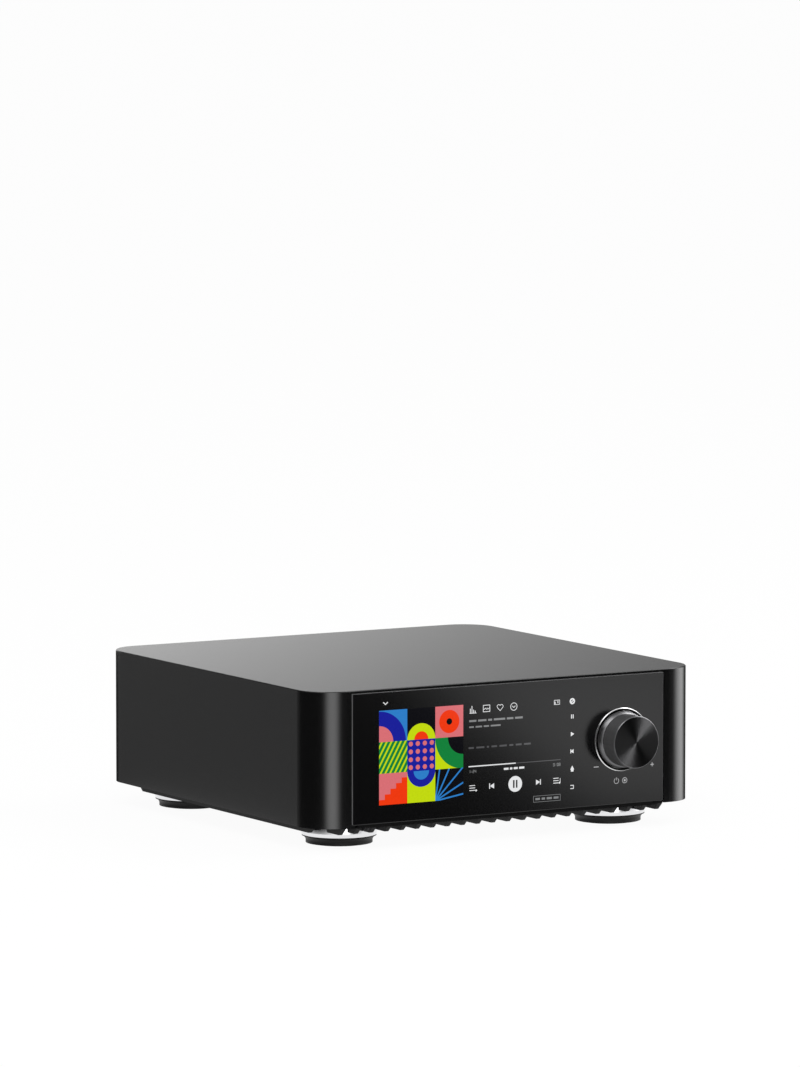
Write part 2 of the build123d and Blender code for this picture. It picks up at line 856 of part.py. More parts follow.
with BuildPart() as encoder_body:
    with BuildSketch(across(front_y - encoder_face)):
        with Locations((knob_x, knob_z)):
            Rectangle(encoder_size, encoder_size)
    extrude(amount=-encoder_depth)
    with BuildSketch(across(front_y - encoder_face)):
        with Locations((knob_x, knob_z)):
            Circle(bushing_radius)
    extrude(amount=bushing_reach - encoder_face)
    with BuildSketch(across(front_y - encoder_back)):
        with Locations((knob_x, knob_z)):
            Circle(encoder_cavity_radius)
    extrude(amount=encoder_depth - encoder_front, mode=Mode.SUBTRACT)
    with BuildSketch(across(front_y - encoder_back)):
        with Locations((knob_x, knob_z)):
            Circle(shaft_radius + run_gap)
    extrude(amount=bushing_reach - encoder_back, mode=Mode.SUBTRACT)
save(encoder_body, "encoder_body")

with BuildPart() as push_switch:
    with BuildSketch(across(front_y - encoder_back)):
        with Locations((knob_x, knob_z)):
            Rectangle(switch_size, switch_size)
    extrude(amount=-switch_depth)
    with BuildSketch(across(front_y - encoder_back)):
        with Locations((knob_x, knob_z)):
            Circle(plunger_radius + run_gap)
    extrude(amount=-switch_bore_depth, mode=Mode.SUBTRACT)
save(push_switch, "push_switch")

with BuildPart() as switch_plunger:
    with BuildSketch(across(front_y - plunger_front)):
        with Locations((knob_x, knob_z)):
            Circle(plunger_radius)
    extrude(amount=-plunger_length)
save(switch_plunger, "switch_plunger")

# Boards on standoffs, and what stands on them
with BuildPart() as board_standoffs:
    with BuildSketch(level(plate_top)):
        with Locations(*standoff_spots):
            RegularPolygon(standoff_size / 2, 6, major_radius=False)
    extrude(amount=standoff_height)
    with BuildSketch(level(plate_top)):
        with Locations(*standoff_spots):
            Circle(small_shank)
    extrude(amount=-standoff_stud)
    with BuildSketch(level(board_bottom)):
        with Locations(*standoff_spots):
            Circle(small_shank + screw_gap)
    extrude(amount=screw_gap - small_screw_length, mode=Mode.SUBTRACT)
save(board_standoffs, "board_standoffs")

with BuildPart() as board_screws:
    with BuildSketch(level(board_top)):
        with Locations(*standoff_spots):
            Circle(small_head)
    extrude(amount=small_head_height)
    with BuildSketch(level(board_top)):
        with Locations(*standoff_spots):
            Circle(small_shank)
    extrude(amount=-small_screw_length)
save(board_screws, "board_screws")

for name, (x, width, depth) in board_spots.items():
    with BuildPart() as board:
        with BuildSketch(level(board_bottom)):
            with Locations((x, board_back)):
                Rectangle(width, depth, align=hang)
            with Locations(*standoff_spots):
                Circle(small_shank + screw_gap, mode=Mode.SUBTRACT)
        extrude(amount=board_thickness)
        if name == "mainboard":
            with BuildSketch(level(board_top)):
                with Locations((display_x, board_back - depth)):
                    Rectangle(socket_block_width, socket_block_depth, align=stand)
            extrude(amount=socket_block_height)
    save(board, name)

sink_y = board_back - sink_inset
with BuildPart() as processor_heat_sink:
    with BuildSketch(level(board_top)):
        with Locations((main_board_x, sink_y)):
            Rectangle(sink_size, sink_size)
    extrude(amount=sink_base)
    with BuildSketch(level(board_top + sink_base)):
        with Locations((main_board_x, sink_y)):
            with GridLocations((sink_size - sink_fin) / (sink_fin_count - 1), 0, sink_fin_count, 1):
                Rectangle(sink_fin, sink_size)
    extrude(amount=sink_height - sink_base)
save(processor_heat_sink, "processor_heat_sink")

with BuildPart() as psu_transformer:
    with BuildSketch(level(board_top)):
        with Locations((power_board_x, board_back - transformer_inset)):
            Rectangle(transformer_width, transformer_depth)
    extrude(amount=transformer_height)
    fillet(psu_transformer.edges().filter_by(Axis.Z), transformer_corner)
save(psu_transformer, "psu_transformer")

with BuildPart() as psu_capacitors:
    with BuildSketch(level(board_top)):
        with Locations((power_board_x, board_back - capacitor_inset)):
            with GridLocations(capacitor_pitch, 0, 2, 1):
                Circle(capacitor_radius)
    extrude(amount=capacitor_height)
    chamfer(psu_capacitors.faces().sort_by(Axis.Z)[-2:].edges(), capacitor_edge)
save(psu_capacitors, "psu_capacitors")

with BuildPart() as dac_shield:
    with BuildSketch(level(board_top)):
        with Locations((analog_board_x, board_back - shield_inset)):
            Rectangle(shield_width, shield_depth)
    extrude(amount=shield_height)
    with BuildSketch(level(board_top)):
        with Locations((analog_board_x, board_back - shield_inset)):
            Rectangle(shield_width - 2 * shield_wall, shield_depth - 2 * shield_wall)
    extrude(amount=shield_height - shield_wall, mode=Mode.SUBTRACT)
save(dac_shield, "dac_shield")

# Flat ribbon from the display down to its socket on the main board
socket_y = board_back - main_board_depth + socket_block_depth
ribbon_start = glass_back + display_thickness
ribbon_end_z = board_top + socket_block_height
with BuildPart() as display_ribbon:
    with BuildSketch(side_view(display_x - ribbon_width / 2, 0, 0)):
        with BuildLine():
            FilletPolyline(
                (ribbon_start, ribbon_z + ribbon_thickness),
                (bracket_back + ribbon_run, ribbon_z + ribbon_thickness),
                (bracket_back + 2 * ribbon_run, ribbon_end_z + ribbon_thickness),
                (socket_y, ribbon_end_z + ribbon_thickness),
                radius=ribbon_bend,
            )
            Line(
                (socket_y, ribbon_end_z + ribbon_thickness),
                (socket_y, ribbon_end_z),
            )
            FilletPolyline(
                (socket_y, ribbon_end_z),
                (bracket_back + 2 * ribbon_run, ribbon_end_z),
                (bracket_back + ribbon_run, ribbon_z),
                (ribbon_start, ribbon_z),
                radius=ribbon_bend,
            )
            Line((ribbon_start, ribbon_z), (ribbon_start, ribbon_z + ribbon_thickness))
        make_face()
    extrude(amount=ribbon_width)
save(display_ribbon, "display_ribbon")

# Rear panel
lan_bottom = board_top
usb_bottom = board_top
hdmi_bottom = board_top
optical_bottom = board_top
rear_x = {name: share * panel_window for name, share in rear_shares.items()}
rear_z = {name: panel_bottom + share * panel_height for name, share in height_shares.items()}
inlet_x, inlet_z = rear_x["mains"], rear_z["inlet"]
switch_x, switch_z = rear_x["mains"], rear_z["switch"]
trigger_x, trigger_z = rear_x["trigger"], rear_z["coax"]
lan_x, usb_x, hdmi_x = rear_x["lan"], rear_x["usb"], rear_x["hdmi"]
optical_x = {"in": rear_x["optical_in"], "out": rear_x["optical_out"]}
xlr_x = {"xlr_right": rear_x["right"], "xlr_left": rear_x["left"]}
xlr_z = rear_z["xlr"]
phono_spots = {
    "coax_in": (rear_x["coax_in"], rear_z["coax"]),
    "coax_out": (rear_x["coax_out"], rear_z["coax"]),
    "rca_right": (rear_x["right"], rear_z["phono"]),
    "rca_left": (rear_x["left"], rear_z["phono"]),
}
xlr_screws_at = [
    (x + side * xlr_screw_x, xlr_z + side * xlr_screw_z) for x in xlr_x.values() for side in (-1, 1)
]
board_sockets = [
    (lan_x, lan_bottom, lan_width, lan_height),
    (usb_x, usb_bottom, usb_width, usb_height),
    (hdmi_x, hdmi_bottom, hdmi_width, hdmi_height),
    (optical_x["in"], optical_bottom, optical_width, optical_height),
    (optical_x["out"], optical_bottom, optical_width, optical_height),
]
with BuildPart() as back_panel:
    with BuildSketch(across(panel_out)):
        with Locations((0, panel_bottom)):
            RectangleRounded(panel_width, panel_height, panel_corner, align=stand)
        for x, z, width, height in board_sockets:
            with Locations((x, z - fit_gap)):
                Rectangle(
                    width + 2 * fit_gap, height + 2 * fit_gap, align=stand, mode=Mode.SUBTRACT
                )
        with Locations((inlet_x, inlet_z)):
            Rectangle(
                inlet_body_width + 2 * pocket_gap,
                inlet_body_height + 2 * pocket_gap,
                mode=Mode.SUBTRACT,
            )
        with Locations((switch_x, switch_z)):
            Rectangle(
                switch_body_width + 2 * pocket_gap,
                switch_body_height + 2 * pocket_gap,
                mode=Mode.SUBTRACT,
            )
        with Locations(*phono_spots.values()):
            Circle(phono_shank_radius + pocket_gap, mode=Mode.SUBTRACT)
        with Locations(*[(x, xlr_z) for x in xlr_x.values()]):
            Circle(xlr_barrel_radius + pocket_gap, mode=Mode.SUBTRACT)
        with Locations((trigger_x, trigger_z)):
            Circle(trigger_neck_radius + pocket_gap, mode=Mode.SUBTRACT)
        with Locations(*panel_screws_at, *xlr_screws_at):
            Circle(small_shank + screw_gap, mode=Mode.SUBTRACT)
    extrude(amount=panel_thickness)
save(back_panel, "back_panel")

panel_screw_length = panel_thickness + case_wall - panel_seat
with BuildPart() as panel_screws:
    with BuildSketch(across(panel_out)):
        with Locations(*panel_screws_at):
            Circle(small_head)
    extrude(amount=-small_head_height)
    with BuildSketch(across(panel_out)):
        with Locations(*panel_screws_at):
            Circle(small_shank)
    extrude(amount=panel_screw_length)
    with BuildSketch(across(panel_out + xlr_flange_thickness)):
        with Locations(*xlr_screws_at):
            Circle(small_head)
    extrude(amount=-small_head_height)
    with BuildSketch(across(panel_out + xlr_flange_thickness)):
        with Locations(*xlr_screws_at):
            Circle(small_shank)
    extrude(amount=xlr_flange_thickness + panel_thickness)
save(panel_screws, "panel_screws")

# Phono sockets: sleeve, collar, shank through the panel and the nut behind it
for name, (x, z) in phono_spots.items():
    with BuildPart() as phono_socket:
        with BuildSketch(round_back(x, z)):
            Rectangle(phono_sleeve_radius, phono_sleeve_length, align=corner)
            Rectangle(phono_flange_radius, phono_flange_thickness, align=corner)
            with Locations((0, -phono_shank_length)):
                Rectangle(phono_shank_radius, phono_shank_length, align=corner)
            with Locations((0, -panel_thickness - phono_nut_thickness)):
                Rectangle(phono_nut_radius, phono_nut_thickness, align=corner)
            with Locations((0, phono_sleeve_length - phono_mouth_depth)):
                Rectangle(phono_mouth_radius, phono_mouth_depth, align=corner, mode=Mode.SUBTRACT)
            with Locations((0, phono_sleeve_length - phono_mouth_depth - phono_bore_depth)):
                Rectangle(phono_bore_radius, phono_bore_depth, align=corner, mode=Mode.SUBTRACT)
        revolve(axis=Axis((x, panel_out, z), (0, 1, 0)))
    save(phono_socket, name)

# Balanced sockets: flange, barrel, cup with three pins and a key rib
for name, x in xlr_x.items():
    with BuildPart() as xlr_socket:
        with BuildSketch(across(panel_out)):
            with Locations((x, xlr_z)):
                RectangleRounded(xlr_flange_width, xlr_flange_height, xlr_flange_corner)
                with Locations((-xlr_screw_x, -xlr_screw_z), (xlr_screw_x, xlr_screw_z)):
                    Circle(small_shank + screw_gap, mode=Mode.SUBTRACT)
        extrude(amount=-xlr_flange_thickness)
        with BuildSketch(across(panel_out)):
            with Locations((x, xlr_z)):
                Circle(xlr_barrel_radius)
        extrude(amount=xlr_barrel_length)
        with BuildSketch(across(panel_out + xlr_flange_thickness)):
            with Locations((x, xlr_z)):
                Circle(xlr_cup_radius)
                with Locations((0, xlr_cup_radius)):
                    Rectangle(xlr_key_width, 2 * xlr_key_height, mode=Mode.SUBTRACT)
        extrude(amount=xlr_cup_depth, mode=Mode.SUBTRACT)
        with BuildSketch(across(panel_out + xlr_flange_thickness - xlr_cup_depth)):
            for angle in xlr_pin_angles:
                with Locations((x, xlr_z)):
                    with PolarLocations(xlr_pin_circle, 1, start_angle=angle):
                        Circle(xlr_pin_radius)
        extrude(amount=-xlr_pin_length)
    save(xlr_socket, name)

# Network socket
socket_front = panel_out + socket_proud
with BuildPart() as lan_jack:
    with BuildSketch(across(socket_front)):
        with Locations((lan_x, lan_bottom)):
            Rectangle(lan_width, lan_height, align=stand)
    extrude(amount=lan_length)
    with BuildSketch(across(socket_front)):
        with Locations((lan_x, lan_bottom + lan_mouth_rise)):
            Rectangle(lan_mouth_width, lan_mouth_height, align=stand)
            Rectangle(lan_key_width, lan_key_height, align=hang)
    extrude(amount=lan_mouth_depth, mode=Mode.SUBTRACT)
save(lan_jack, "lan_jack")

# Stacked storage sockets, each mouth with its tongue
usb_mouths = [usb_bottom + usb_height / 2 + side * usb_mouth_pitch / 2 for side in (-1, 1)]
with BuildPart() as usb_jack:
    with BuildSketch(across(socket_front)):
        with Locations((usb_x, usb_bottom)):
            Rectangle(usb_width, usb_height, align=stand)
    extrude(amount=usb_length)
    with BuildSketch(across(socket_front)):
        with Locations(*[(usb_x, z) for z in usb_mouths]):
            Rectangle(usb_mouth_width, usb_mouth_height)
    extrude(amount=usb_mouth_depth, mode=Mode.SUBTRACT)
    with BuildSketch(across(socket_front - usb_mouth_depth)):
        with Locations(*[(usb_x, z + usb_tongue_height / 2) for z in usb_mouths]):
            Rectangle(usb_tongue_width, usb_tongue_height)
    extrude(amount=-usb_tongue_length)
save(usb_jack, "usb_jack")

# Video socket: a mouth with cut lower corners
hdmi_z = hdmi_bottom + hdmi_height / 2
hdmi_half_width = hdmi_mouth_width / 2
hdmi_half_height = hdmi_mouth_height / 2
with BuildPart() as hdmi_jack:
    with BuildSketch(across(socket_front)):
        with Locations((hdmi_x, hdmi_bottom)):
            Rectangle(hdmi_width, hdmi_height, align=stand)
    extrude(amount=hdmi_length)
    with BuildSketch(across(socket_front)):
        with Locations((hdmi_x, hdmi_z)):
            Polygon(
                (-hdmi_half_width, hdmi_half_height),
                (-hdmi_half_width, hdmi_mouth_cut - hdmi_half_height),
                (hdmi_mouth_cut - hdmi_half_width, -hdmi_half_height),
                (hdmi_half_width - hdmi_mouth_cut, -hdmi_half_height),
                (hdmi_half_width, hdmi_mouth_cut - hdmi_half_height),
                (hdmi_half_width, hdmi_half_height),
            )
    extrude(amount=hdmi_mouth_depth, mode=Mode.SUBTRACT)
    with BuildSketch(across(socket_front - hdmi_mouth_depth)):
        with Locations((hdmi_x, hdmi_z)):
            Rectangle(hdmi_tongue_width, hdmi_tongue_height)
    extrude(amount=-hdmi_tongue_length)
save(hdmi_jack, "hdmi_jack")

# Trigger socket: a turned collar in front of a moulded body
with BuildPart() as trigger_jack:
    with BuildSketch(across(panel_in)):
        with Locations((trigger_x, trigger_z)):
            Rectangle(trigger_body_width, trigger_body_height)
    extrude(amount=trigger_body_length)
    with BuildSketch(across(panel_in)):
        with Locations((trigger_x, trigger_z)):
            Circle(trigger_neck_radius)
    extrude(amount=-panel_thickness)
    with BuildSketch(across(panel_out)):
        with Locations((trigger_x, trigger_z)):
            Circle(trigger_collar_radius)
    extrude(amount=-trigger_collar_length)
    with BuildSketch(across(panel_out + trigger_collar_length)):
        with Locations((trigger_x, trigger_z)):
            Circle(trigger_bore_radius)
    extrude(amount=trigger_bore_depth, mode=Mode.SUBTRACT)
save(trigger_jack, "trigger_jack")

# Optical sockets, each with a shutter hung from pins in its side walls
optical_front = panel_out + optical_proud
optical_z = optical_bottom + optical_height / 2
shutter_y = optical_front - shutter_set_back
shutter_z = optical_z + optical_mouth / 2 - shutter_drop
shutter_length = optical_mouth - shutter_drop - shutter_foot_gap
shutter_half = optical_mouth / 2 - shutter_side_gap
for name, x in optical_x.items():
    with BuildPart() as optical_socket:
        with BuildSketch(across(optical_front)):
            with Locations((x, optical_bottom)):
                Rectangle(optical_width, optical_height, align=stand)
        extrude(amount=optical_length)
        with BuildSketch(across(optical_front)):
            with Locations((x, optical_z)):
                Rectangle(optical_mouth, optical_mouth)
        extrude(amount=optical_depth, mode=Mode.SUBTRACT)
        with BuildSketch(across(optical_front - optical_depth)):
            with Locations((x, optical_z)):
                Circle(optical_tip_radius)
        extrude(amount=-optical_tip_length)
        with BuildSketch(side_view(x, shutter_y, shutter_z)):
            Circle(shutter_pin_radius + run_gap)
        extrude(amount=optical_mouth / 2 + shutter_pin_reach + run_gap, both=True, mode=Mode.SUBTRACT)
    save(optical_socket, f"optical_{name}")

    with BuildPart() as shutter:
        with BuildSketch(side_view(x, shutter_y, shutter_z)):
            Circle(shutter_knuckle)
            Rectangle(shutter_thickness, shutter_length, align=hang)
        extrude(amount=shutter_half, both=True)
        with BuildSketch(side_view(x, shutter_y, shutter_z)):
            Circle(shutter_pin_radius)
        extrude(amount=optical_mouth / 2 + shutter_pin_reach, both=True)
    save(shutter, f"shutter_{name}")

# Mains inlet: flange, body, keyed mouth, three pins and the tabs behind
inlet_half_width = inlet_mouth_width / 2
inlet_half_height = inlet_mouth_height / 2
inlet_pins_at = [
    (inlet_x - inlet_pin_spread, inlet_z - inlet_pin_drop),
    (inlet_x, inlet_z + inlet_pin_drop),
    (inlet_x + inlet_pin_spread, inlet_z - inlet_pin_drop),
]
inlet_front = panel_out + inlet_flange_thickness
inlet_back = panel_out - inlet_body_length
with BuildPart() as mains_inlet:
    with BuildSketch(across(panel_out)):
        with Locations((inlet_x, inlet_z)):
            RectangleRounded(inlet_flange_width, inlet_flange_height, inlet_flange_corner)
    extrude(amount=-inlet_flange_thickness)
    with BuildSketch(across(panel_out)):
        with Locations((inlet_x, inlet_z)):
            Rectangle(inlet_body_width, inlet_body_height)
    extrude(amount=inlet_body_length)
    with BuildSketch(across(inlet_front)):
        with Locations((inlet_x, inlet_z)):
            Polygon(
                (-inlet_half_width, -inlet_half_height),
                (inlet_half_width, -inlet_half_height),
                (inlet_half_width, inlet_half_height - inlet_mouth_cut),
                (inlet_half_width - inlet_mouth_cut, inlet_half_height),
                (inlet_mouth_cut - inlet_half_width, inlet_half_height),
                (-inlet_half_width, inlet_half_height - inlet_mouth_cut),
            )
    extrude(amount=inlet_mouth_depth, mode=Mode.SUBTRACT)
    with BuildSketch(across(inlet_front - inlet_mouth_depth)):
        with Locations(*inlet_pins_at):
            Rectangle(inlet_pin_width, inlet_pin_height)
    extrude(amount=-inlet_pin_length)
    with BuildSketch(across(inlet_back)):
        with Locations(*inlet_pins_at):
            Rectangle(inlet_tab_thickness, inlet_tab_width)
    extrude(amount=inlet_tab_length)
save(mains_inlet, "mains_inlet")

# Power switch: a frame in the panel and a rocker on two stub pins, resting with its lower end in
pivot_y = panel_out - rocker_pivot_depth
with BuildPart() as switch_frame:
    with BuildSketch(across(panel_out)):
        with Locations((switch_x, switch_z)):
            RectangleRounded(switch_flange_width, switch_flange_height, switch_flange_corner)
    extrude(amount=-switch_flange_thickness)
    with BuildSketch(across(panel_out)):
        with Locations((switch_x, switch_z)):
            Rectangle(switch_body_width, switch_body_height)
    extrude(amount=switch_body_length)
    with BuildSketch(across(panel_out + switch_flange_thickness)):
        with Locations((switch_x, switch_z)):
            Rectangle(switch_cavity_width, switch_cavity_height)
    extrude(amount=switch_flange_thickness + switch_cavity_depth, mode=Mode.SUBTRACT)
    with BuildSketch(side_view(switch_x, pivot_y, switch_z)):
        Circle(rocker_pin_radius + run_gap)
    extrude(amount=switch_body_width / 2, both=True, mode=Mode.SUBTRACT)
save(switch_frame, "switch_frame")

tilt = radians(rocker_tilt)
rocker_plane = Plane(
    origin=(switch_x, pivot_y, switch_z), x_dir=(0, cos(tilt), -sin(tilt)), z_dir=(1, 0, 0)
)
shoulder_half = rocker_half_height - rocker_shoulder_inset
with BuildPart() as power_rocker:
    with BuildSketch(rocker_plane):
        with Locations((rocker_pivot_depth, 0)):
            Polygon(
                (rocker_valley, 0),
                (rocker_peak, rocker_half_height),
                (-rocker_shoulder, shoulder_half),
                (-rocker_skirt_depth, rocker_skirt_half),
                (-rocker_skirt_depth, -rocker_skirt_half),
                (-rocker_shoulder, -shoulder_half),
                (rocker_peak, -rocker_half_height),
                align=None,
            )
    extrude(amount=rocker_width / 2, both=True)
    with BuildSketch(rocker_plane):
        Circle(rocker_pin_radius)
    extrude(amount=switch_cavity_width / 2 + rocker_pin_reach, both=True)
save(power_rocker, "power_rocker")

# Leads from the inlet's outer tabs and from the switch down to the power board
tab_end = inlet_back - inlet_tab_length
switch_back = panel_out - switch_body_length
lead_paths = [
    ((inlet_pins_at[0][0], tab_end, inlet_pins_at[0][1]), tab_end - wire_run),
    ((inlet_pins_at[2][0], tab_end, inlet_pins_at[2][1]), tab_end - wire_run),
    ((switch_x - switch_wire_spread, switch_back, switch_z), tab_end - wire_run / 2),
    ((switch_x + switch_wire_spread, switch_back, switch_z), tab_end - wire_run / 2),
]
with BuildPart() as mains_leads:
    for (x, y, z), drop_y in lead_paths:
        with BuildLine():
            lead = FilletPolyline((x, y, z), (x, drop_y, z), (x, drop_y, board_top), radius=wire_bend)
        with BuildSketch(across(y)):
            with Locations((x, z)):
                Circle(wire_radius)
        sweep(path=lead)
save(mains_leads, "mains_leads")
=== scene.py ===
import json
import math

import bpy
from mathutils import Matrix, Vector


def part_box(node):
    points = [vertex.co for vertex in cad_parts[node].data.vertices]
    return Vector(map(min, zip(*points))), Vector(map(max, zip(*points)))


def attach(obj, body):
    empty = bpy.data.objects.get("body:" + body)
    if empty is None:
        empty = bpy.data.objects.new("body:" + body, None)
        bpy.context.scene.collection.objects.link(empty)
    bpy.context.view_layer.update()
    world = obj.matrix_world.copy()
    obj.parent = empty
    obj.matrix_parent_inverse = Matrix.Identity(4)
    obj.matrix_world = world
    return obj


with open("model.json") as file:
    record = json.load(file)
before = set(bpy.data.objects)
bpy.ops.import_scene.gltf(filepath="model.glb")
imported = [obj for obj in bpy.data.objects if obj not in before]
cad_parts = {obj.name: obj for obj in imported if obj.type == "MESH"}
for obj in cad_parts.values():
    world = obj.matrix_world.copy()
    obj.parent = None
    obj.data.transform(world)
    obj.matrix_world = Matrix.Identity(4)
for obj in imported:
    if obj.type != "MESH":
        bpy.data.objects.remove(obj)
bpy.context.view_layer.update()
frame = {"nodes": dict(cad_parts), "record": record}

mm = 0.001
nodes = frame["nodes"]
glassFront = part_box("front_glass")[0].y
caseLow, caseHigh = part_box("case_shell")
print("stage: frame loaded,", len(nodes), "nodes")


# Materials

def newMaterial(name):
    material = bpy.data.materials.new(name)
    material.use_nodes = True
    tree = material.node_tree
    return material, tree, tree.nodes["Principled BSDF"]


def link(tree, source, node, name):
    tree.links.new(source, node.inputs[name])


def coordinates(tree, kind="Object"):  # Object coordinates stay with the piece
    return tree.nodes.new("ShaderNodeTexCoord").outputs[kind]


def axes(tree, vector):
    parts = tree.nodes.new("ShaderNodeSeparateXYZ")
    link(tree, vector, parts, 0)
    return [parts.outputs[axis] for axis in "XYZ"]


def facetNormal(tree):
    return axes(tree, tree.nodes.new("ShaderNodeNewGeometry").outputs["True Normal"])


def calc(tree, operation, *values):  # each value is a number or a socket
    node = tree.nodes.new("ShaderNodeMath")
    node.operation = operation
    for index, value in enumerate(values):
        if isinstance(value, (int, float)):
            node.inputs[index].default_value = value
        else:
            link(tree, value, node, index)
    return node.outputs[0]


def ramp(tree, value, start, end, low=0.0, high=1.0, form="SMOOTHSTEP"):
    node = tree.nodes.new("ShaderNodeMapRange")
    node.interpolation_type = form
    names = ("From Min", "From Max", "To Min", "To Max")
    for name, number in zip(names, (start, end, low, high)):
        node.inputs[name].default_value = number
    link(tree, value, node, "Value")
    return node.outputs[0]


def tintBetween(tree, factor, first, second):  # each tint is a colour or a socket
    mix = tree.nodes.new("ShaderNodeMix")
    mix.data_type = "RGBA"
    link(tree, factor, mix, "Factor")
    for name, tint in (("A", first), ("B", second)):
        if isinstance(tint, bpy.types.NodeSocket):
            link(tree, tint, mix, name)
        else:
            mix.inputs[name].default_value = (*tint, 1)
    return mix.outputs["Result"]


def objectNoise(tree, scale, detail=2.0):
    noise = tree.nodes.new("ShaderNodeTexNoise")
    noise.inputs["Scale"].default_value = scale
    noise.inputs["Detail"].default_value = detail
    link(tree, coordinates(tree), noise, "Vector")
    return noise.outputs[0]


noiseReach = (0.3, 0.7)  # nearly all of the noise lies between these


def grain(tree, scale, low, high, detail=2.0):  # noise between two values
    return ramp(tree, objectNoise(tree, scale, detail), *noiseReach, low, high, "LINEAR")


cloud = {"scale": 45.0, "detail": 3.0}  # the slow change between a piece's two colours
shadeShare = 0.8  # the second colour's share of the first, where a look has no shade
usualLook = {"metallic": 0.0, "gloss": 0.5, "bumpStrength": 0.5}


def finish(name, look):
    # look: colour, shade (the second colour), rough (low, high), grain (per metre),
    # bump (metres), and what usualLook has
    look = {**usualLook, **look}
    material, tree, shader = newMaterial(name)
    shader.inputs["Metallic"].default_value = look["metallic"]
    shader.inputs["Specular IOR Level"].default_value = look["gloss"]
    shade = look.get("shade", [c * shadeShare for c in look["colour"]])
    clouds = grain(tree, cloud["scale"], 0.0, 1.0, cloud["detail"])
    link(tree, tintBetween(tree, clouds, look["colour"], shade), shader, "Base Color")
    link(tree, grain(tree, look["grain"], *look["rough"]), shader, "Roughness")
    if "bump" in look:
        bump = tree.nodes.new("ShaderNodeBump")
        bump.inputs["Strength"].default_value = look["bumpStrength"]
        bump.inputs["Distance"].default_value = look["bump"]
        link(tree, objectNoise(tree, look["grain"]), bump, "Height")
        link(tree, bump.outputs["Normal"], shader, "Normal")
    return material


looks = {  # by material slot
    "anodised_black": dict(colour=(0.0026, 0.0026, 0.0028), shade=(0.0021, 0.0021, 0.0022),
                           rough=(0.22, 0.27), grain=2600.0, bump=0.00001, bumpStrength=0.35),
    "polished_metal": dict(colour=(0.82, 0.82, 0.83), shade=(0.74, 0.74, 0.76), metallic=1.0,
                           rough=(0.08, 0.14), grain=900.0),
    "foot_black": dict(colour=(0.003, 0.003, 0.0032), rough=(0.42, 0.52), grain=1800.0,
                       bump=0.00001, gloss=0.2),
    "rubber_black": dict(colour=(0.014, 0.014, 0.014), rough=(0.7, 0.85), grain=1200.0,
                         bump=0.00002),
    "display": dict(colour=(0.01, 0.01, 0.012), rough=(0.1, 0.15), grain=300.0),
    "plastic_black": dict(colour=(0.018, 0.018, 0.019), rough=(0.38, 0.5), grain=1400.0,
                          bump=0.00001),
    "plastic_clear": dict(colour=(0.75, 0.76, 0.78), rough=(0.25, 0.35), grain=500.0),
    "panel_black": dict(colour=(0.02, 0.02, 0.021), rough=(0.42, 0.55), grain=2200.0,
                        bump=0.000015),
    "screw_black": dict(colour=(0.05, 0.05, 0.052), metallic=1.0, rough=(0.3, 0.42),
                        grain=1500.0),
    "zinc": dict(colour=(0.55, 0.55, 0.53), shade=(0.45, 0.46, 0.46), metallic=1.0,
                 rough=(0.25, 0.4), grain=700.0),
    "socket_metal": dict(colour=(0.62, 0.62, 0.63), shade=(0.57, 0.57, 0.58), metallic=1.0,
                         rough=(0.3, 0.36), grain=3000.0),
    "gold": dict(colour=(0.85, 0.6, 0.24), shade=(0.8, 0.56, 0.22), metallic=1.0,
                 rough=(0.14, 0.2), grain=2500.0),
    "brass": dict(colour=(0.72, 0.55, 0.28), metallic=1.0, rough=(0.2, 0.3), grain=900.0),
    "circuit_board": dict(colour=(0.01, 0.06, 0.035), rough=(0.25, 0.35), grain=600.0),
    "aluminium": dict(colour=(0.68, 0.68, 0.69), metallic=1.0, rough=(0.3, 0.4), grain=900.0),
    "winding": dict(colour=(0.6, 0.45, 0.06), rough=(0.3, 0.4), grain=600.0),
    "sleeve": dict(colour=(0.02, 0.03, 0.09), rough=(0.2, 0.3), grain=600.0),
    "ribbon": dict(colour=(0.75, 0.7, 0.55), rough=(0.35, 0.45), grain=600.0),
    "wire": dict(colour=(0.2, 0.015, 0.012), rough=(0.35, 0.45), grain=600.0),
}
basePlateLook = dict(colour=(0.002, 0.002, 0.0021), rough=(0.4, 0.48), grain=2600.0,
                     bump=0.00001, gloss=0.12)

knobLook = {
    "face": (0.022, 0.022, 0.0225), "chamfer": (0.15, 0.15, 0.155),
    "side": (0.056, 0.056, 0.057), "foot": (0.2, 0.2, 0.205),
    "rough": (0.29, 0.31), "grain": 500.0,
    "spun": 0.93, "sheenTurn": 0.25,  # the sheen lies across the turning marks
    "frontDepth": 0.001,  # the face and its chamfer lie within this of the front
    # how far a facet looks along the knob's axis: 0 for the side, 1 for the face
    "chamferSlope": (0.5, 0.9), "sideSlope": (0.06, 0.12), "footLimit": 0.97,
}


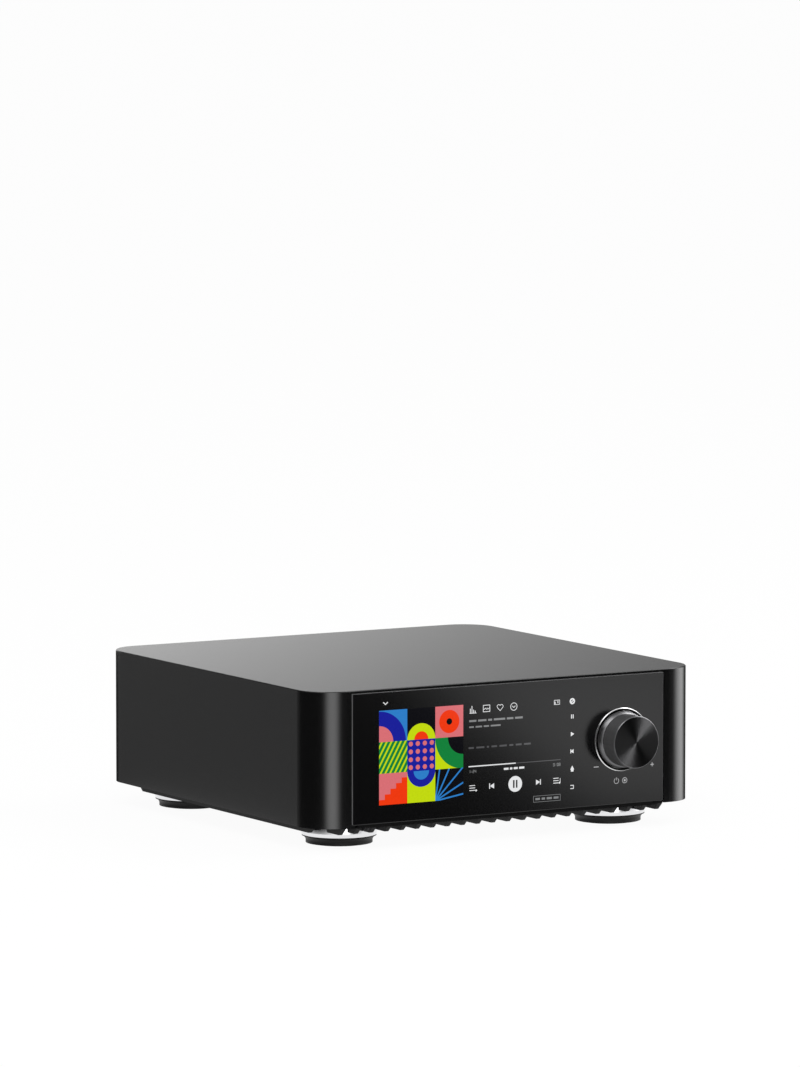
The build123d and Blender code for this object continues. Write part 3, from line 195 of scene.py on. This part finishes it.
def knobMaterial():  # spun face, bright chamfer, satin side, flared foot
    material, tree, shader = newMaterial("knob_black")
    tangent = tree.nodes.new("ShaderNodeTangent")
    tangent.direction_type = "RADIAL"
    tangent.axis = "Y"
    link(tree, tangent.outputs["Tangent"], shader, "Tangent")
    shader.inputs["Anisotropic"].default_value = knobLook["spun"]
    shader.inputs["Anisotropic Rotation"].default_value = knobLook["sheenTurn"]

    facing = facetNormal(tree)[1]  # -1 where a facet faces the front
    slope = calc(tree, "ABSOLUTE", facing)
    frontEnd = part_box("knob")[0].y + knobLook["frontDepth"]
    front = calc(tree, "LESS_THAN", axes(tree, coordinates(tree))[1], frontEnd)
    least, most = knobLook["chamferSlope"]
    sloping = calc(tree, "MULTIPLY", calc(tree, "LESS_THAN", facing, -least),
                   calc(tree, "GREATER_THAN", facing, -most))
    chamfer = calc(tree, "MULTIPLY", sloping, front)
    sideEnd, footStart = knobLook["sideSlope"]
    side = ramp(tree, slope, footStart, sideEnd)
    flared = calc(tree, "MULTIPLY", ramp(tree, slope, sideEnd, footStart),
                  calc(tree, "LESS_THAN", slope, knobLook["footLimit"]))
    foot = calc(tree, "MULTIPLY", calc(tree, "SUBTRACT", 1.0, front), flared)

    tint = tintBetween(tree, chamfer, knobLook["face"], knobLook["chamfer"])
    tint = tintBetween(tree, foot, tint, knobLook["foot"])
    tint = tintBetween(tree, side, tint, knobLook["side"])
    link(tree, tint, shader, "Base Color")
    link(tree, calc(tree, "SUBTRACT", 1.0, side), shader, "Metallic")
    link(tree, grain(tree, knobLook["grain"], *knobLook["rough"]), shader, "Roughness")
    return material


ringLook = {
    "crown": (0.9, 0.9, 0.91), "well": (0.006, 0.006, 0.006),
    "radii": (0.0176, 0.01796), "edge": 0.00006,  # the crown is polished between these radii
    "rough": (0.16, 0.24), "grain": 900.0,
}


def ringMaterial():  # polished crown, black slope into the well
    material, tree, shader = newMaterial("knob_ring")
    low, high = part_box("knob_ring")
    mapping = tree.nodes.new("ShaderNodeMapping")
    mapping.inputs["Location"].default_value = (-(low.x + high.x) / 2, 0, -(low.z + high.z) / 2)
    mapping.inputs["Scale"].default_value = (1, 0, 1)
    link(tree, coordinates(tree), mapping, "Vector")
    length = tree.nodes.new("ShaderNodeVectorMath")
    length.operation = "LENGTH"
    link(tree, mapping.outputs[0], length, 0)
    radius, edge = length.outputs["Value"], ringLook["edge"]
    inner, outer = ringLook["radii"]
    crown = calc(tree, "MULTIPLY", ramp(tree, radius, inner - edge, inner + edge),
                 ramp(tree, radius, outer + edge, outer - edge))
    tint = tintBetween(tree, crown, ringLook["well"], ringLook["crown"])
    link(tree, tint, shader, "Base Color")
    link(tree, crown, shader, "Metallic")
    link(tree, grain(tree, ringLook["grain"], *ringLook["rough"]), shader, "Roughness")
    return material


glassLook = {
    "face": (0.0025, 0.0025, 0.0027), "chamfer": (0.09, 0.09, 0.092), "gloss": 0.2,
    "rough": (0.18, 0.45),  # the face, then the ground chamfer
    "chamferStart": (-0.9, -0.8),  # -1 for a facet of the face, and the chamfer lies above these
    "paintedShadeBelow": (-0.5, -0.3),  # the lower chamfer looks down, below these, and keeps the face's dark colour as painted shade
}


def glassMaterial():
    material, tree, shader = newMaterial("front_glass")
    shader.inputs["Specular IOR Level"].default_value = glassLook["gloss"]
    facing, rising = facetNormal(tree)[1:]
    start = glassLook["chamferStart"]
    link(tree, ramp(tree, facing, *start, *glassLook["rough"], "LINEAR"), shader, "Roughness")
    # the ground chamfer is pale, but only where it faces sideways or up; facing down it keeps
    # the face's dark colour, a painted shade
    chamfer = calc(tree, "MULTIPLY", ramp(tree, facing, *start),
                   ramp(tree, rising, *glassLook["paintedShadeBelow"]))
    tint = tintBetween(tree, chamfer, glassLook["face"], glassLook["chamfer"])
    link(tree, tint, shader, "Base Color")
    return material


materials = {slot: finish(slot, look) for slot, look in looks.items()}
materials["knob_black"] = knobMaterial()
materials["glass_black"] = glassMaterial()
nodeMaterials = {"knob_ring": ringMaterial(), "base_plate": finish("base_plate", basePlateLook)}

for part in frame["record"]["subparts"]:
    node = nodes[part["node"]]
    node.data.materials.clear()
    own = nodeMaterials.get(part["node"])
    node.data.materials.append(own or materials[part["material_slot"]])
print("stage: materials on the nodes")


# Modelling helpers

upright = (math.radians(90), 0, 0)  # turns a flat primitive to face the front
inkDepth = 0.03  # how thick a printed or lit mark is, in millimetres


def freshStart():
    if bpy.context.mode != "OBJECT":
        bpy.ops.object.mode_set(mode="OBJECT")
    bpy.ops.object.select_all(action="DESELECT")


def pickOnly(piece):
    freshStart()
    piece.select_set(True)
    bpy.context.view_layer.objects.active = piece


def glassPoint(across, up, proud=0.0):  # millimetres from the case's lower left corner
    return Vector((caseLow.x + across * mm, glassFront - proud * mm, caseLow.z + up * mm))


def settle(piece, name):  # the place goes into the mesh
    piece.name = name
    piece.data.name = name
    pickOnly(piece)
    bpy.ops.object.transform_apply(location=True, rotation=True, scale=True)
    return piece


def joined(pieces, name):
    pickOnly(pieces[0])
    for piece in pieces:
        piece.select_set(True)
    if len(pieces) > 1:
        bpy.ops.object.join()
    return settle(bpy.context.view_layer.objects.active, name)


def editFlat():  # the new flat shape keeps its place, and all of it is selected
    bpy.ops.object.transform_apply(location=False, rotation=True, scale=True)
    bpy.ops.object.mode_set(mode="EDIT")
    bpy.ops.mesh.select_all(action="SELECT")


def thicken(turn):  # towards the front, then turned anticlockwise by so many degrees
    bpy.ops.mesh.extrude_region_move(TRANSFORM_OT_translate={"value": (0, -inkDepth * mm, 0)})
    bpy.ops.mesh.select_all(action="SELECT")
    bpy.ops.mesh.normals_make_consistent(inside=False)
    bpy.ops.object.mode_set(mode="OBJECT")
    piece = bpy.context.active_object
    piece.rotation_euler.y = -math.radians(turn)
    return settle(piece, "mark")


def bar(across, up, width, height, turn=0.0, proud=0.0):
    freshStart()
    bpy.ops.mesh.primitive_plane_add(size=1, location=glassPoint(across, up, proud),
                                     rotation=upright)
    bpy.context.active_object.scale = (width * mm, height * mm, 1)
    editFlat()
    return thicken(turn)


def flatDisc(across, up, radius, sides, proud=0.0):
    freshStart()
    bpy.ops.mesh.primitive_circle_add(vertices=sides, radius=radius * mm, fill_type="NGON",
                                      location=glassPoint(across, up, proud), rotation=upright)
    editFlat()


def disc(across, up, radius, sides=48, turn=0.0, proud=0.0):
    flatDisc(across, up, radius, sides, proud)
    return thicken(turn)


def triangle(across, up, size, turn=0.0):  # points right at turn 0
    return disc(across, up, size, sides=3, turn=turn - 90)


def ring(across, up, radius, stroke, gap=0, turn=0.0, sides=48):
    # gap leaves out what lies within that angle of the top
    flatDisc(across, up, radius, sides)
    bpy.ops.mesh.inset(thickness=stroke * mm)
    bpy.ops.mesh.delete(type="FACE")
    if gap:
        bpy.ops.object.mode_set(mode="OBJECT")
        for face in bpy.context.active_object.data.polygons:
            face.select = abs(math.atan2(face.center.x, face.center.z)) < math.radians(gap)
        bpy.ops.object.mode_set(mode="EDIT")
        bpy.ops.mesh.delete(type="FACE")
    bpy.ops.mesh.select_all(action="SELECT")
    return thicken(turn)


litLook = {
    "glass": (0.003, 0.003, 0.003), "rough": 0.08, "gloss": 0.2,
    "strength": 0.95, "grain": 900.0, "shade": 0.93,  # shade: how far the light falls off
}


def lit(name, colour):  # a mark that shines through the glass and keeps its gloss
    material, tree, shader = newMaterial(name)
    shader.inputs["Base Color"].default_value = (*litLook["glass"], 1)
    shader.inputs["Roughness"].default_value = litLook["rough"]
    shader.inputs["Specular IOR Level"].default_value = litLook["gloss"]
    shade = [c * litLook["shade"] for c in colour]
    light = tintBetween(tree, grain(tree, litLook["grain"], 0.0, 1.0), colour, shade)
    link(tree, light, shader, "Emission Color")
    shader.inputs["Emission Strength"].default_value = litLook["strength"]
    return material


def onGlass(pieces, name, material):
    piece = joined(pieces, name)
    piece.data.materials.clear()
    piece.data.materials.append(material)
    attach(piece, "chassis")


# The picture on the display: plain geometric tiles

album = {
    "left": 40.8, "bottom": 11.4, "width": 54.0, "height": 52.7, "columns": 3, "rows": 3,
    # column, row, ground, then what lies on it: kind, colour, size as a share of the tile
    "tiles": [
        (0, 2, "sky", ("cornerDisc", "deepBlue", 0.95), ("cornerDisc", "coral", 0.5)),
        (1, 2, "night", ("hill", "lime", 1.0), ("hill", "red", 0.5)),
        (2, 2, "coral", ("disc", "red", 0.72), ("disc", "night", 0.2)),
        (0, 1, "green", ("stripes", "lime", 0.055)),
        (1, 1, "deepBlue", ("dots", "coral", 0.3)),
        (2, 1, "lime", ("farCornerDisc", "green", 1.0), ("farCornerDisc", "night", 0.55)),
        (0, 0, "coral", ("steps", "red", 1.0)),
        (1, 0, "lime", ("valley", "deepBlue", 1.0), ("valley", "sky", 0.55)),
        (2, 0, "night", ("rays", "sky", 0.5)),
    ],
    "colours": {
        "coral": (0.74, 0.17, 0.19), "red": (0.93, 0.042, 0.003), "lime": (0.58, 0.75, 0.003),
        "green": (0.005, 0.23, 0.045), "deepBlue": (0.009, 0.013, 0.34),
        "sky": (0.027, 0.22, 0.62), "night": (0.002, 0.002, 0.004),
    },
    "discSides": 96, "dotSides": 32, "dots": 4, "steps": 5,
    "stripes": 9, "stripePitch": 0.17, "stripeTurn": -30, "stripeLength": 2,
    "rays": 5, "rayWidth": 0.1, "rayLength": 3, "firstRay": -9, "rayStep": 18,
}


leastCut = 0.000001  # a shape that passes a tile's edge by less, in metres, isn't cut there


def clipped(piece, low, high):  # keeps what lies between two corners of a tile
    spots = [vertex.co.copy() for vertex in piece.data.vertices]
    cuts = ((low, (-1, 0, 0)), (low, (0, 0, -1)), (high, (1, 0, 0)), (high, (0, 0, 1)))
    pickOnly(piece)
    bpy.ops.object.mode_set(mode="EDIT")
    for point, outward in cuts:
        if max((spot - point).dot(Vector(outward)) for spot in spots) > leastCut:
            bpy.ops.mesh.select_all(action="SELECT")
            bpy.ops.mesh.bisect(plane_co=point, plane_no=outward, use_fill=True,
                                clear_outer=True)
    bpy.ops.mesh.select_all(action="SELECT")
    bpy.ops.mesh.normals_make_consistent(inside=False)
    bpy.ops.object.mode_set(mode="OBJECT")
    return piece


def tileShapes(kind, size, x, z, w, h, proud):  # x and z are the tile's lower left corner
    midX, midZ = x + w / 2, z + h / 2
    roundPlaces = {
        "cornerDisc": (x, z, w), "farCornerDisc": (x + w, z + h, w),
        "hill": (midX, z, w / 2), "valley": (midX, z + h, w / 2), "disc": (midX, midZ, w / 2),
    }
    if kind in roundPlaces:
        across, up, radius = roundPlaces[kind]
        return [disc(across, up, radius * size, album["discSides"], proud=proud)]
    if kind == "dots":
        count = album["dots"]
        return [disc(x + w * (column + 0.5) / count, z + h * (row + 0.5) / count,
                     w * size / count, album["dotSides"], proud=proud)
                for column in range(count) for row in range(count)]
    if kind == "stripes":
        middle = (album["stripes"] - 1) // 2
        return [bar(midX + (index - middle) * w * album["stripePitch"], midZ, w * size,
                    h * album["stripeLength"], album["stripeTurn"], proud)
                for index in range(album["stripes"])]
    if kind == "rays":
        return [bar(x, z, w * album["rayWidth"] * size, w * album["rayLength"],
                    album["firstRay"] - index * album["rayStep"], proud)
                for index in range(album["rays"])]
    count = album["steps"]
    heights = [h * (index + 1) / (count + 1) for index in range(count)]
    return [bar(x + w * (index + 0.5) / count, z + tall / 2, w / count, tall, proud=proud)
            for index, tall in enumerate(heights)]


def buildAlbum():
    w = album["width"] / album["columns"]
    h = album["height"] / album["rows"]
    byColour = {name: [] for name in album["colours"]}
    for column, row, ground, *layers in album["tiles"]:
        x = album["left"] + column * w
        z = album["bottom"] + row * h
        low, high = glassPoint(x, z), glassPoint(x + w, z + h)
        byColour[ground].append(bar(x + w / 2, z + h / 2, w, h))
        for index, (kind, colour, size) in enumerate(layers):
            shapes = tileShapes(kind, size, x, z, w, h, inkDepth * (index + 1))
            byColour[colour] += [clipped(shape, low, high) for shape in shapes]
    for name, shapes in byColour.items():
        material = lit("album" + name.capitalize(), album["colours"][name])
        onGlass(shapes, "album_" + name.lower(), material)


buildAlbum()
print("stage: picture tiles")


# Marks on the display, the touch keys and the print round the knob

digitStrokes = {  # a seven-stroke figure: which of its strokes are lit
    "0": "abcdef", "1": "bc", "2": "abged", "3": "abgcd", "4": "fgbc", "5": "afgcd",
    "6": "afgedc", "7": "abc", "8": "abcdefg", "9": "abcdfg", ":": "xy",
}


def number(text, across, up, height, stroke, share=0.5, pitch=0.85):
    # share and pitch: a figure's width and its way to the next, as shares of the height
    half, wide = height / 2, height * share
    upward, level, dot = (stroke, half), (wide + stroke, stroke), (stroke, stroke)
    strokes = {
        "a": (wide / 2, height, level), "g": (wide / 2, half, level), "d": (wide / 2, 0, level),
        "f": (0, height * 0.75, upward), "b": (wide, height * 0.75, upward),
        "e": (0, height * 0.25, upward), "c": (wide, height * 0.25, upward),
        "x": (wide / 2, height * 0.3, dot), "y": (wide / 2, height * 0.7, dot),
    }
    pieces = []
    for index, digit in enumerate(text):
        for name in digitStrokes[digit]:
            x, z, size = strokes[name]
            pieces.append(bar(across + index * height * pitch + x, up + z, *size))
    return pieces


def chevron(x, z, arm, stroke, turn=0.0, slope=42, apart=0.32):  # opens upwards at turn 0
    angle = math.radians(turn)
    reach = arm * apart  # from the sign's middle to an arm's middle
    return [bar(x + side * reach * math.cos(angle), z + side * reach * math.sin(angle), arm,
                stroke, turn + side * slope) for side in (-1, 1)]


def columns(x, z, pitch, width, heights):  # they stand on one line
    return [bar(x + index * pitch, z + tall / 2, width, tall)
            for index, tall in enumerate(heights)]


def lines(x, z, width, pitch=1.35, stroke=0.42):  # the three lines of a list
    return [bar(x, z + step * pitch, width, stroke) for step in (-1, 0, 1)]


heartParts = {  # shares of its size, and degrees
    "stroke": 0.32, "lobe": (0.95, 0.6), "radius": 1.2, "gap": 80, "turn": 145, "sides": 40,
    "leg": (0.86, -0.99), "length": 2.5, "slope": 45,
}


def heart(x, z, size):  # two open rings over two slanting legs
    parts = heartParts
    (lobeX, lobeZ), (legX, legZ) = parts["lobe"], parts["leg"]
    stroke = parts["stroke"] * size
    pieces = []
    for side in (-1, 1):
        pieces.append(ring(x + side * lobeX * size, z + lobeZ * size, parts["radius"] * size,
                           stroke, parts["gap"], side * parts["turn"], parts["sides"]))
        pieces.append(bar(x + side * legX * size, z + legZ * size, parts["length"] * size,
                          stroke, side * parts["slope"]))
    return pieces


def skip(x, z, size, way, setBack=0.15, width=0.32, height=1.75):  # way 1 points right, -1 left
    return [triangle(x - way * setBack * size, z, size, 0 if way > 0 else 180),
            bar(x + way * size, z, size * width, size * height)]


def pause(x, z, height, apart=0.24, width=0.24):
    return [bar(x + side * height * apart, z, height * width, height) for side in (-1, 1)]


def box(x, z, width, height, stroke):
    return [bar(x, z + side * (height - stroke) / 2, width, stroke) for side in (-1, 1)] + \
           [bar(x + side * (width - stroke) / 2, z, stroke, height) for side in (-1, 1)]


def words(x, z, lengths, height, gap=1.1):  # plain strokes in place of lettering
    pieces = []
    for length in lengths:
        pieces.append(bar(x + length / 2, z, length, height))
        x += length + gap
    return pieces


markShapes = {
    "bar": bar, "disc": disc, "ring": ring, "triangle": triangle, "chevron": chevron,
    "columns": columns, "lines": lines, "heart": heart, "skip": skip, "pause": pause,
    "box": box, "words": words, "number": number,
}
markColours = {
    "white": (0.86, 0.87, 0.88), "grey": (0.24, 0.245, 0.25), "dim": (0.085, 0.085, 0.09),
    # the print round the knob glows like the display, as painted light
    "knob": (0.5, 0.5, 0.51),
}
inkLook = dict(colour=(0.004, 0.004, 0.004), rough=(0.05, 0.08), grain=300.0, gloss=0.2)

# each mark: its shape, then its place on the glass and its sizes, in millimetres
marks = {
    "white": [
        ("chevron", 44.9, 68.0, 2.1, 0.5),
        # the row of icons above the words
        ("columns", 99.4, 59.2, 1.05, 0.45, (2.4, 3.8, 1.7, 1.1)),
        ("bar", 101.1, 59.0, 4.4, 0.35),
        ("box", 109.9, 61.1, 4.6, 4.0, 0.36),
        ("chevron", 109.2, 60.9, 1.5, 0.34, 180), ("chevron", 111.0, 61.0, 1.2, 0.34),
        ("heart", 118.7, 61.1, 0.98),
        ("ring", 127.6, 61.0, 2.25, 0.34), ("chevron", 127.6, 60.9, 1.5, 0.36),
        ("box", 155.8, 61.6, 3.8, 2.7, 0.3),
        ("bar", 154.6, 61.3, 0.5, 1.3), ("bar", 156.4, 61.8, 0.5, 1.2),
        # the row of controls
        ("lines", 100.7, 17.0, 3.6), ("disc", 103.2, 15.5, 0.55, 20),
        ("skip", 113.7, 17.3, 1.75, -1), ("skip", 143.3, 17.4, 1.75, 1),
        ("disc", 128.6, 17.4, 4.45, 64),
        ("lines", 155.2, 17.4, 3.4), ("disc", 157.6, 16.1, 0.55, 20),
        ("bar", 158.0, 17.4, 0.3, 2.6),
        # what has been played, and the words below it
        ("bar", 113.6, 29.1, 30.6, 0.62),
        ("words", 121.2, 26.3, (3.0, 1.6, 2.6, 3.4), 1.15, 0.9),
        # the touch keys, from the top
        ("ring", 165.9, 61.6, 1.75, 0.85), ("bar", 165.9, 61.6, 2.0, 0.6, 35),
        ("pause", 165.9, 52.95, 2.3),
        ("triangle", 165.7, 43.05, 1.5),
        ("triangle", 166.1, 33.3, 1.35, 180), ("bar", 164.95, 33.3, 0.5, 2.3),
        ("triangle", 165.9, 23.7, 1.5, 90), ("bar", 165.9, 22.55, 1.7, 1.5),
        ("bar", 165.7, 14.0, 2.0, 0.42), ("bar", 165.7, 12.2, 2.0, 0.42),
        ("bar", 166.75, 13.1, 0.42, 2.2),
    ],
    "ink": [  # the two bars of the pause sign, on its white disc
        ("bar", 127.65, 17.4, 0.95, 4.4, 0.0, inkDepth),
        ("bar", 129.55, 17.4, 0.95, 4.4, 0.0, inkDepth),
    ],
    "grey": [
        ("words", 98.7, 54.6, (4.6, 5.4, 2.6, 7.4, 4.2, 5.0), 1.1),
        ("words", 98.7, 51.2, (3.0, 4.2, 3.4, 6.4), 0.9),
        ("number", "1:24", 98.5, 25.5, 1.5, 0.26), ("number", "3:08", 153.4, 25.7, 1.5, 0.26),
        ("box", 149.3, 7.85, 17.8, 3.6, 0.22), ("words", 141.8, 7.85, (3.0, 2.2, 3.4, 3.2), 1.2),
    ],
    "dim": [
        ("words", 98.3, 39.5, (3.4, 5.2, 1.4, 3.6, 4.8, 2.6, 3.8, 4.4), 1.0, 1.6),
        ("bar", 143.55, 29.1, 29.3, 0.42),
    ],
    "knob": [  # printed round it: less, more, standby and press; this print glows, a painted light in place of lamplight on pale print
        ("bar", 181.7, 23.3, 3.2, 0.42),
        ("bar", 218.8, 22.3, 2.2, 0.42), ("bar", 218.8, 22.3, 0.42, 2.2),
        ("ring", 195.1, 14.5, 1.65, 0.28, 32), ("bar", 195.1, 15.6, 0.28, 1.7),
        ("ring", 200.6, 14.5, 1.65, 0.3), ("disc", 200.6, 14.5, 0.62, 24),
    ],
}


def buildMarks():
    for name, rows in marks.items():
        pieces = []
        for shape, *sizes in rows:
            made = markShapes[shape](*sizes)
            pieces += made if isinstance(made, list) else [made]
        if name == "ink":
            material = finish("markInk", inkLook)
        else:
            # every mark here glows; for the print round the knob the glow is painted light
            material = lit("mark" + name.capitalize(), markColours[name])
        onGlass(pieces, "marks_" + name, material)


buildMarks()
print("stage: display marks")


# Floor, light and camera

def mixShaders(tree, factor, first, second):
    node = tree.nodes.new("ShaderNodeMixShader")
    link(tree, factor, node, "Fac")
    link(tree, first.outputs[0], node, 1)
    link(tree, second.outputs[0], node, 2)
    return node


def emitter(tree, kind, strength):  # white, with a number or a socket as its strength
    node = tree.nodes.new(kind)
    node.inputs["Color"].default_value = (1, 1, 1, 1)
    if isinstance(strength, float):
        node.inputs["Strength"].default_value = strength
    else:
        link(tree, strength, node, "Strength")
    return node


studio = {
    "fill": 0.7,  # the level that lights matt surfaces
    "dark": 0.03,  # the dark studio that glossy surfaces see
    # the soft light overhead: the height in degrees where it starts and is full, its strength
    "top": (38.0, 62.0, 0.9),
    # soft panels that glossy surfaces see, in degrees: middle right of the front, half width,
    # softness, lower edge, upper edge, then the strength
    "panels": [
        (-17.0, 18.0, 12.0, -30.0, 60.0, 3.3), (80.0, 20.0, 14.0, -30.0, 55.0, 3.8),
        (58.0, 24.0, 12.0, 14.0, 55.0, 3.0), (-153.0, 12.0, 6.5, -30.0, 30.0, 0.29),
        (-75.0, 25.0, 15.0, 42.0, 80.0, 2.0),
    ],
    "panelEdge": 8.0,  # softness of a panel's lower and upper edge
}
floorLook = {
    "size": 40.0, "colour": (0.86, 0.86, 0.86), "rough": 0.9,
    "glow": (0.01, 0.05),  # how far from the case it shows in the object's gloss: full, gone
    "white": 0.95,  # how much of it is plain white to the camera
}


def buildFloor():
    freshStart()
    bpy.ops.mesh.primitive_plane_add(size=floorLook["size"], location=(0, 0, 0))
    floor = settle(bpy.context.active_object, "floor")
    material, tree, shader = newMaterial("floorPale")
    shader.inputs["Base Color"].default_value = (*floorLook["colour"], 1)
    shader.inputs["Roughness"].default_value = floorLook["rough"]
    shader.inputs["Specular IOR Level"].default_value = 0.0
    path = tree.nodes.new("ShaderNodeLightPath")
    x, y = axes(tree, coordinates(tree))[:2]
    sideways = calc(tree, "SUBTRACT", calc(tree, "ABSOLUTE", x), caseHigh.x)
    ahead = calc(tree, "SUBTRACT", calc(tree, "ABSOLUTE", y), caseHigh.y)
    away = calc(tree, "MAXIMUM", sideways, ahead)
    plain = emitter(tree, "ShaderNodeEmission", 1.0)
    clear = tree.nodes.new("ShaderNodeBsdfTransparent")
    seen = calc(tree, "MULTIPLY", path.outputs["Is Camera Ray"], floorLook["white"])
    matt = mixShaders(tree, seen, shader, plain)
    glow = mixShaders(tree, ramp(tree, away, *floorLook["glow"]), plain, clear)
    both = mixShaders(tree, path.outputs["Is Glossy Ray"], matt, glow)
    link(tree, both.outputs[0], tree.nodes["Material Output"], "Surface")
    floor.data.materials.append(material)


def buildWorld():
    world = bpy.data.worlds.new("studio")
    bpy.context.scene.world = world
    world.use_nodes = True
    tree = world.node_tree
    tree.nodes.clear()
    x, y, z = axes(tree, coordinates(tree, "Generated"))
    bearing = calc(tree, "DEGREES", calc(tree, "ARCTAN2", x, calc(tree, "MULTIPLY", y, -1.0)))
    height = calc(tree, "DEGREES", calc(tree, "ARCSINE", z))
    start, full, strength = studio["top"]
    level = ramp(tree, height, start, full, studio["dark"], strength)
    edge = studio["panelEdge"]
    for middle, half, soft, bottom, top, strength in studio["panels"]:
        aside = calc(tree, "ABSOLUTE", calc(tree, "SUBTRACT", bearing, middle))
        band = calc(tree, "MULTIPLY", ramp(tree, height, bottom - edge, bottom + edge),
                    ramp(tree, height, top + edge, top - edge))
        panel = calc(tree, "MULTIPLY", band, ramp(tree, aside, half + soft, half - soft))
        level = calc(tree, "MULTIPLY_ADD", panel, strength, level)
    path = tree.nodes.new("ShaderNodeLightPath")
    fill = emitter(tree, "ShaderNodeBackground", studio["fill"])
    glossy = emitter(tree, "ShaderNodeBackground", level)
    plain = emitter(tree, "ShaderNodeBackground", 1.0)
    light = mixShaders(tree, path.outputs["Is Glossy Ray"], fill, glossy)
    both = mixShaders(tree, path.outputs["Is Camera Ray"], light, plain)
    link(tree, both.outputs[0], tree.nodes.new("ShaderNodeOutputWorld"), "Surface")


# A card glows in the object's gloss alone. Its light grows across it, along slant, from the
# first level to the second over edge. only names the nodes that see it, never those that don't.
cards = {
    # in the glass: dark at its lower left, pale at its upper right
    "glassCard": dict(place=(0.267, -0.54, 0.0015), faces=(-0.5, 0.86, 0.1), width=0.25,
                      height=0.11, slant=(-0.65, 0.76), edge=(-0.028, -0.006),
                      levels=(0.0, 3.1), never=["knob", "case_shell", "base_plate"]),
    # in the roof
    "roofCard": dict(place=(0.13, 0.42, 0.21), faces=(-0.5, -0.86, 0.0), width=1.0,
                     height=0.30, slant=(-0.47, -1.0), twist=2.0, edge=(-0.22, 0.40),
                     levels=(0.26, 1.85)),
    # in the knob's spun face: the edge lies past the card, so all of it is bright
    "knobCard": dict(place=(0.446, -0.4705, 0.149), faces=(-0.73, 0.66, -0.19), width=0.15,
                     height=0.13, slant=(0.0, 1.0), edge=(-0.5, -0.4), levels=(0.0, 42.0),
                     only=["knob"]),
}


def cardMaterial(name, card):
    material, tree, shader = newMaterial(name)
    tree.nodes.remove(shader)
    x, y = axes(tree, coordinates(tree))[:2]
    along = calc(tree, "MULTIPLY_ADD", x, card["slant"][0],
                 calc(tree, "MULTIPLY", y, card["slant"][1]))
    if "twist" in card:  # the slant changes from the card's lower to its upper edge
        along = calc(tree, "MULTIPLY_ADD", calc(tree, "MULTIPLY", x, y), card["twist"], along)
    level = ramp(tree, along, *card["edge"], *card["levels"])
    shine = emitter(tree, "ShaderNodeEmission", level)
    link(tree, shine.outputs[0], tree.nodes["Material Output"], "Surface")
    return material


def buildCards():
    for name, card in cards.items():
        freshStart()
        turn = Vector(card["faces"]).to_track_quat("Z", "Y").to_euler()
        bpy.ops.mesh.primitive_plane_add(size=1, location=card["place"], rotation=turn)
        piece = bpy.context.active_object
        piece.name = name
        piece.scale = (card["width"], card["height"], 1)
        bpy.ops.object.transform_apply(location=False, rotation=False, scale=True)
        piece.data.materials.append(cardMaterial(name, card))
        piece.visible_camera = piece.visible_diffuse = piece.visible_shadow = False
        piece.visible_transmission = False
        for rule, state in (("only", "INCLUDE"), ("never", "EXCLUDE")):
            if rule in card:
                receivers = bpy.data.collections.new(name + "Receivers")
                for node in card[rule]:
                    receivers.objects.link(nodes[node])
                for item in receivers.collection_objects:
                    item.light_linking.link_state = state
                piece.light_linking.receiver_collection = receivers


lamps = {  # the left one, then the right
    "softLamp0": dict(place=(-1.2, -1.6, 2.0), width=1.6, height=1.2, watts=34.0),
    "softLamp1": dict(place=(1.8, -0.4, 1.8), width=1.2, height=1.2, watts=22.0),
}
lampAim = (0, 0, 0.05)


def buildLamps():
    for name, look in lamps.items():
        freshStart()
        bpy.ops.object.light_add(type="AREA", location=look["place"])
        lamp = bpy.context.active_object
        lamp.name = name
        lamp.data.shape = "RECTANGLE"
        lamp.data.size = look["width"]
        lamp.data.size_y = look["height"]
        lamp.data.energy = look["watts"]
        aim = Vector(lampAim) - Vector(look["place"])
        lamp.rotation_euler = aim.to_track_quat("-Z", "Y").to_euler()
        lamp.visible_glossy = False


camera = {
    "place": (-2.12527, -3.65330, 0.59887), "turn": (84.086, 0.0, -30.175),
    "lens": 251.35, "sensor": 36.0, "farthest": 30.0,
}


def buildCamera():
    freshStart()
    turn = [math.radians(angle) for angle in camera["turn"]]
    bpy.ops.object.camera_add(location=camera["place"], rotation=turn)
    eye = bpy.context.active_object
    eye.name = "camera"
    eye.data.sensor_width = camera["sensor"]
    eye.data.lens = camera["lens"]
    eye.data.clip_end = camera["farthest"]
    bpy.context.scene.camera = eye


buildFloor()
buildWorld()
buildCards()
buildLamps()
buildCamera()
bpy.context.scene.view_settings.view_transform = "Standard"
print("stage: floor, light and camera")
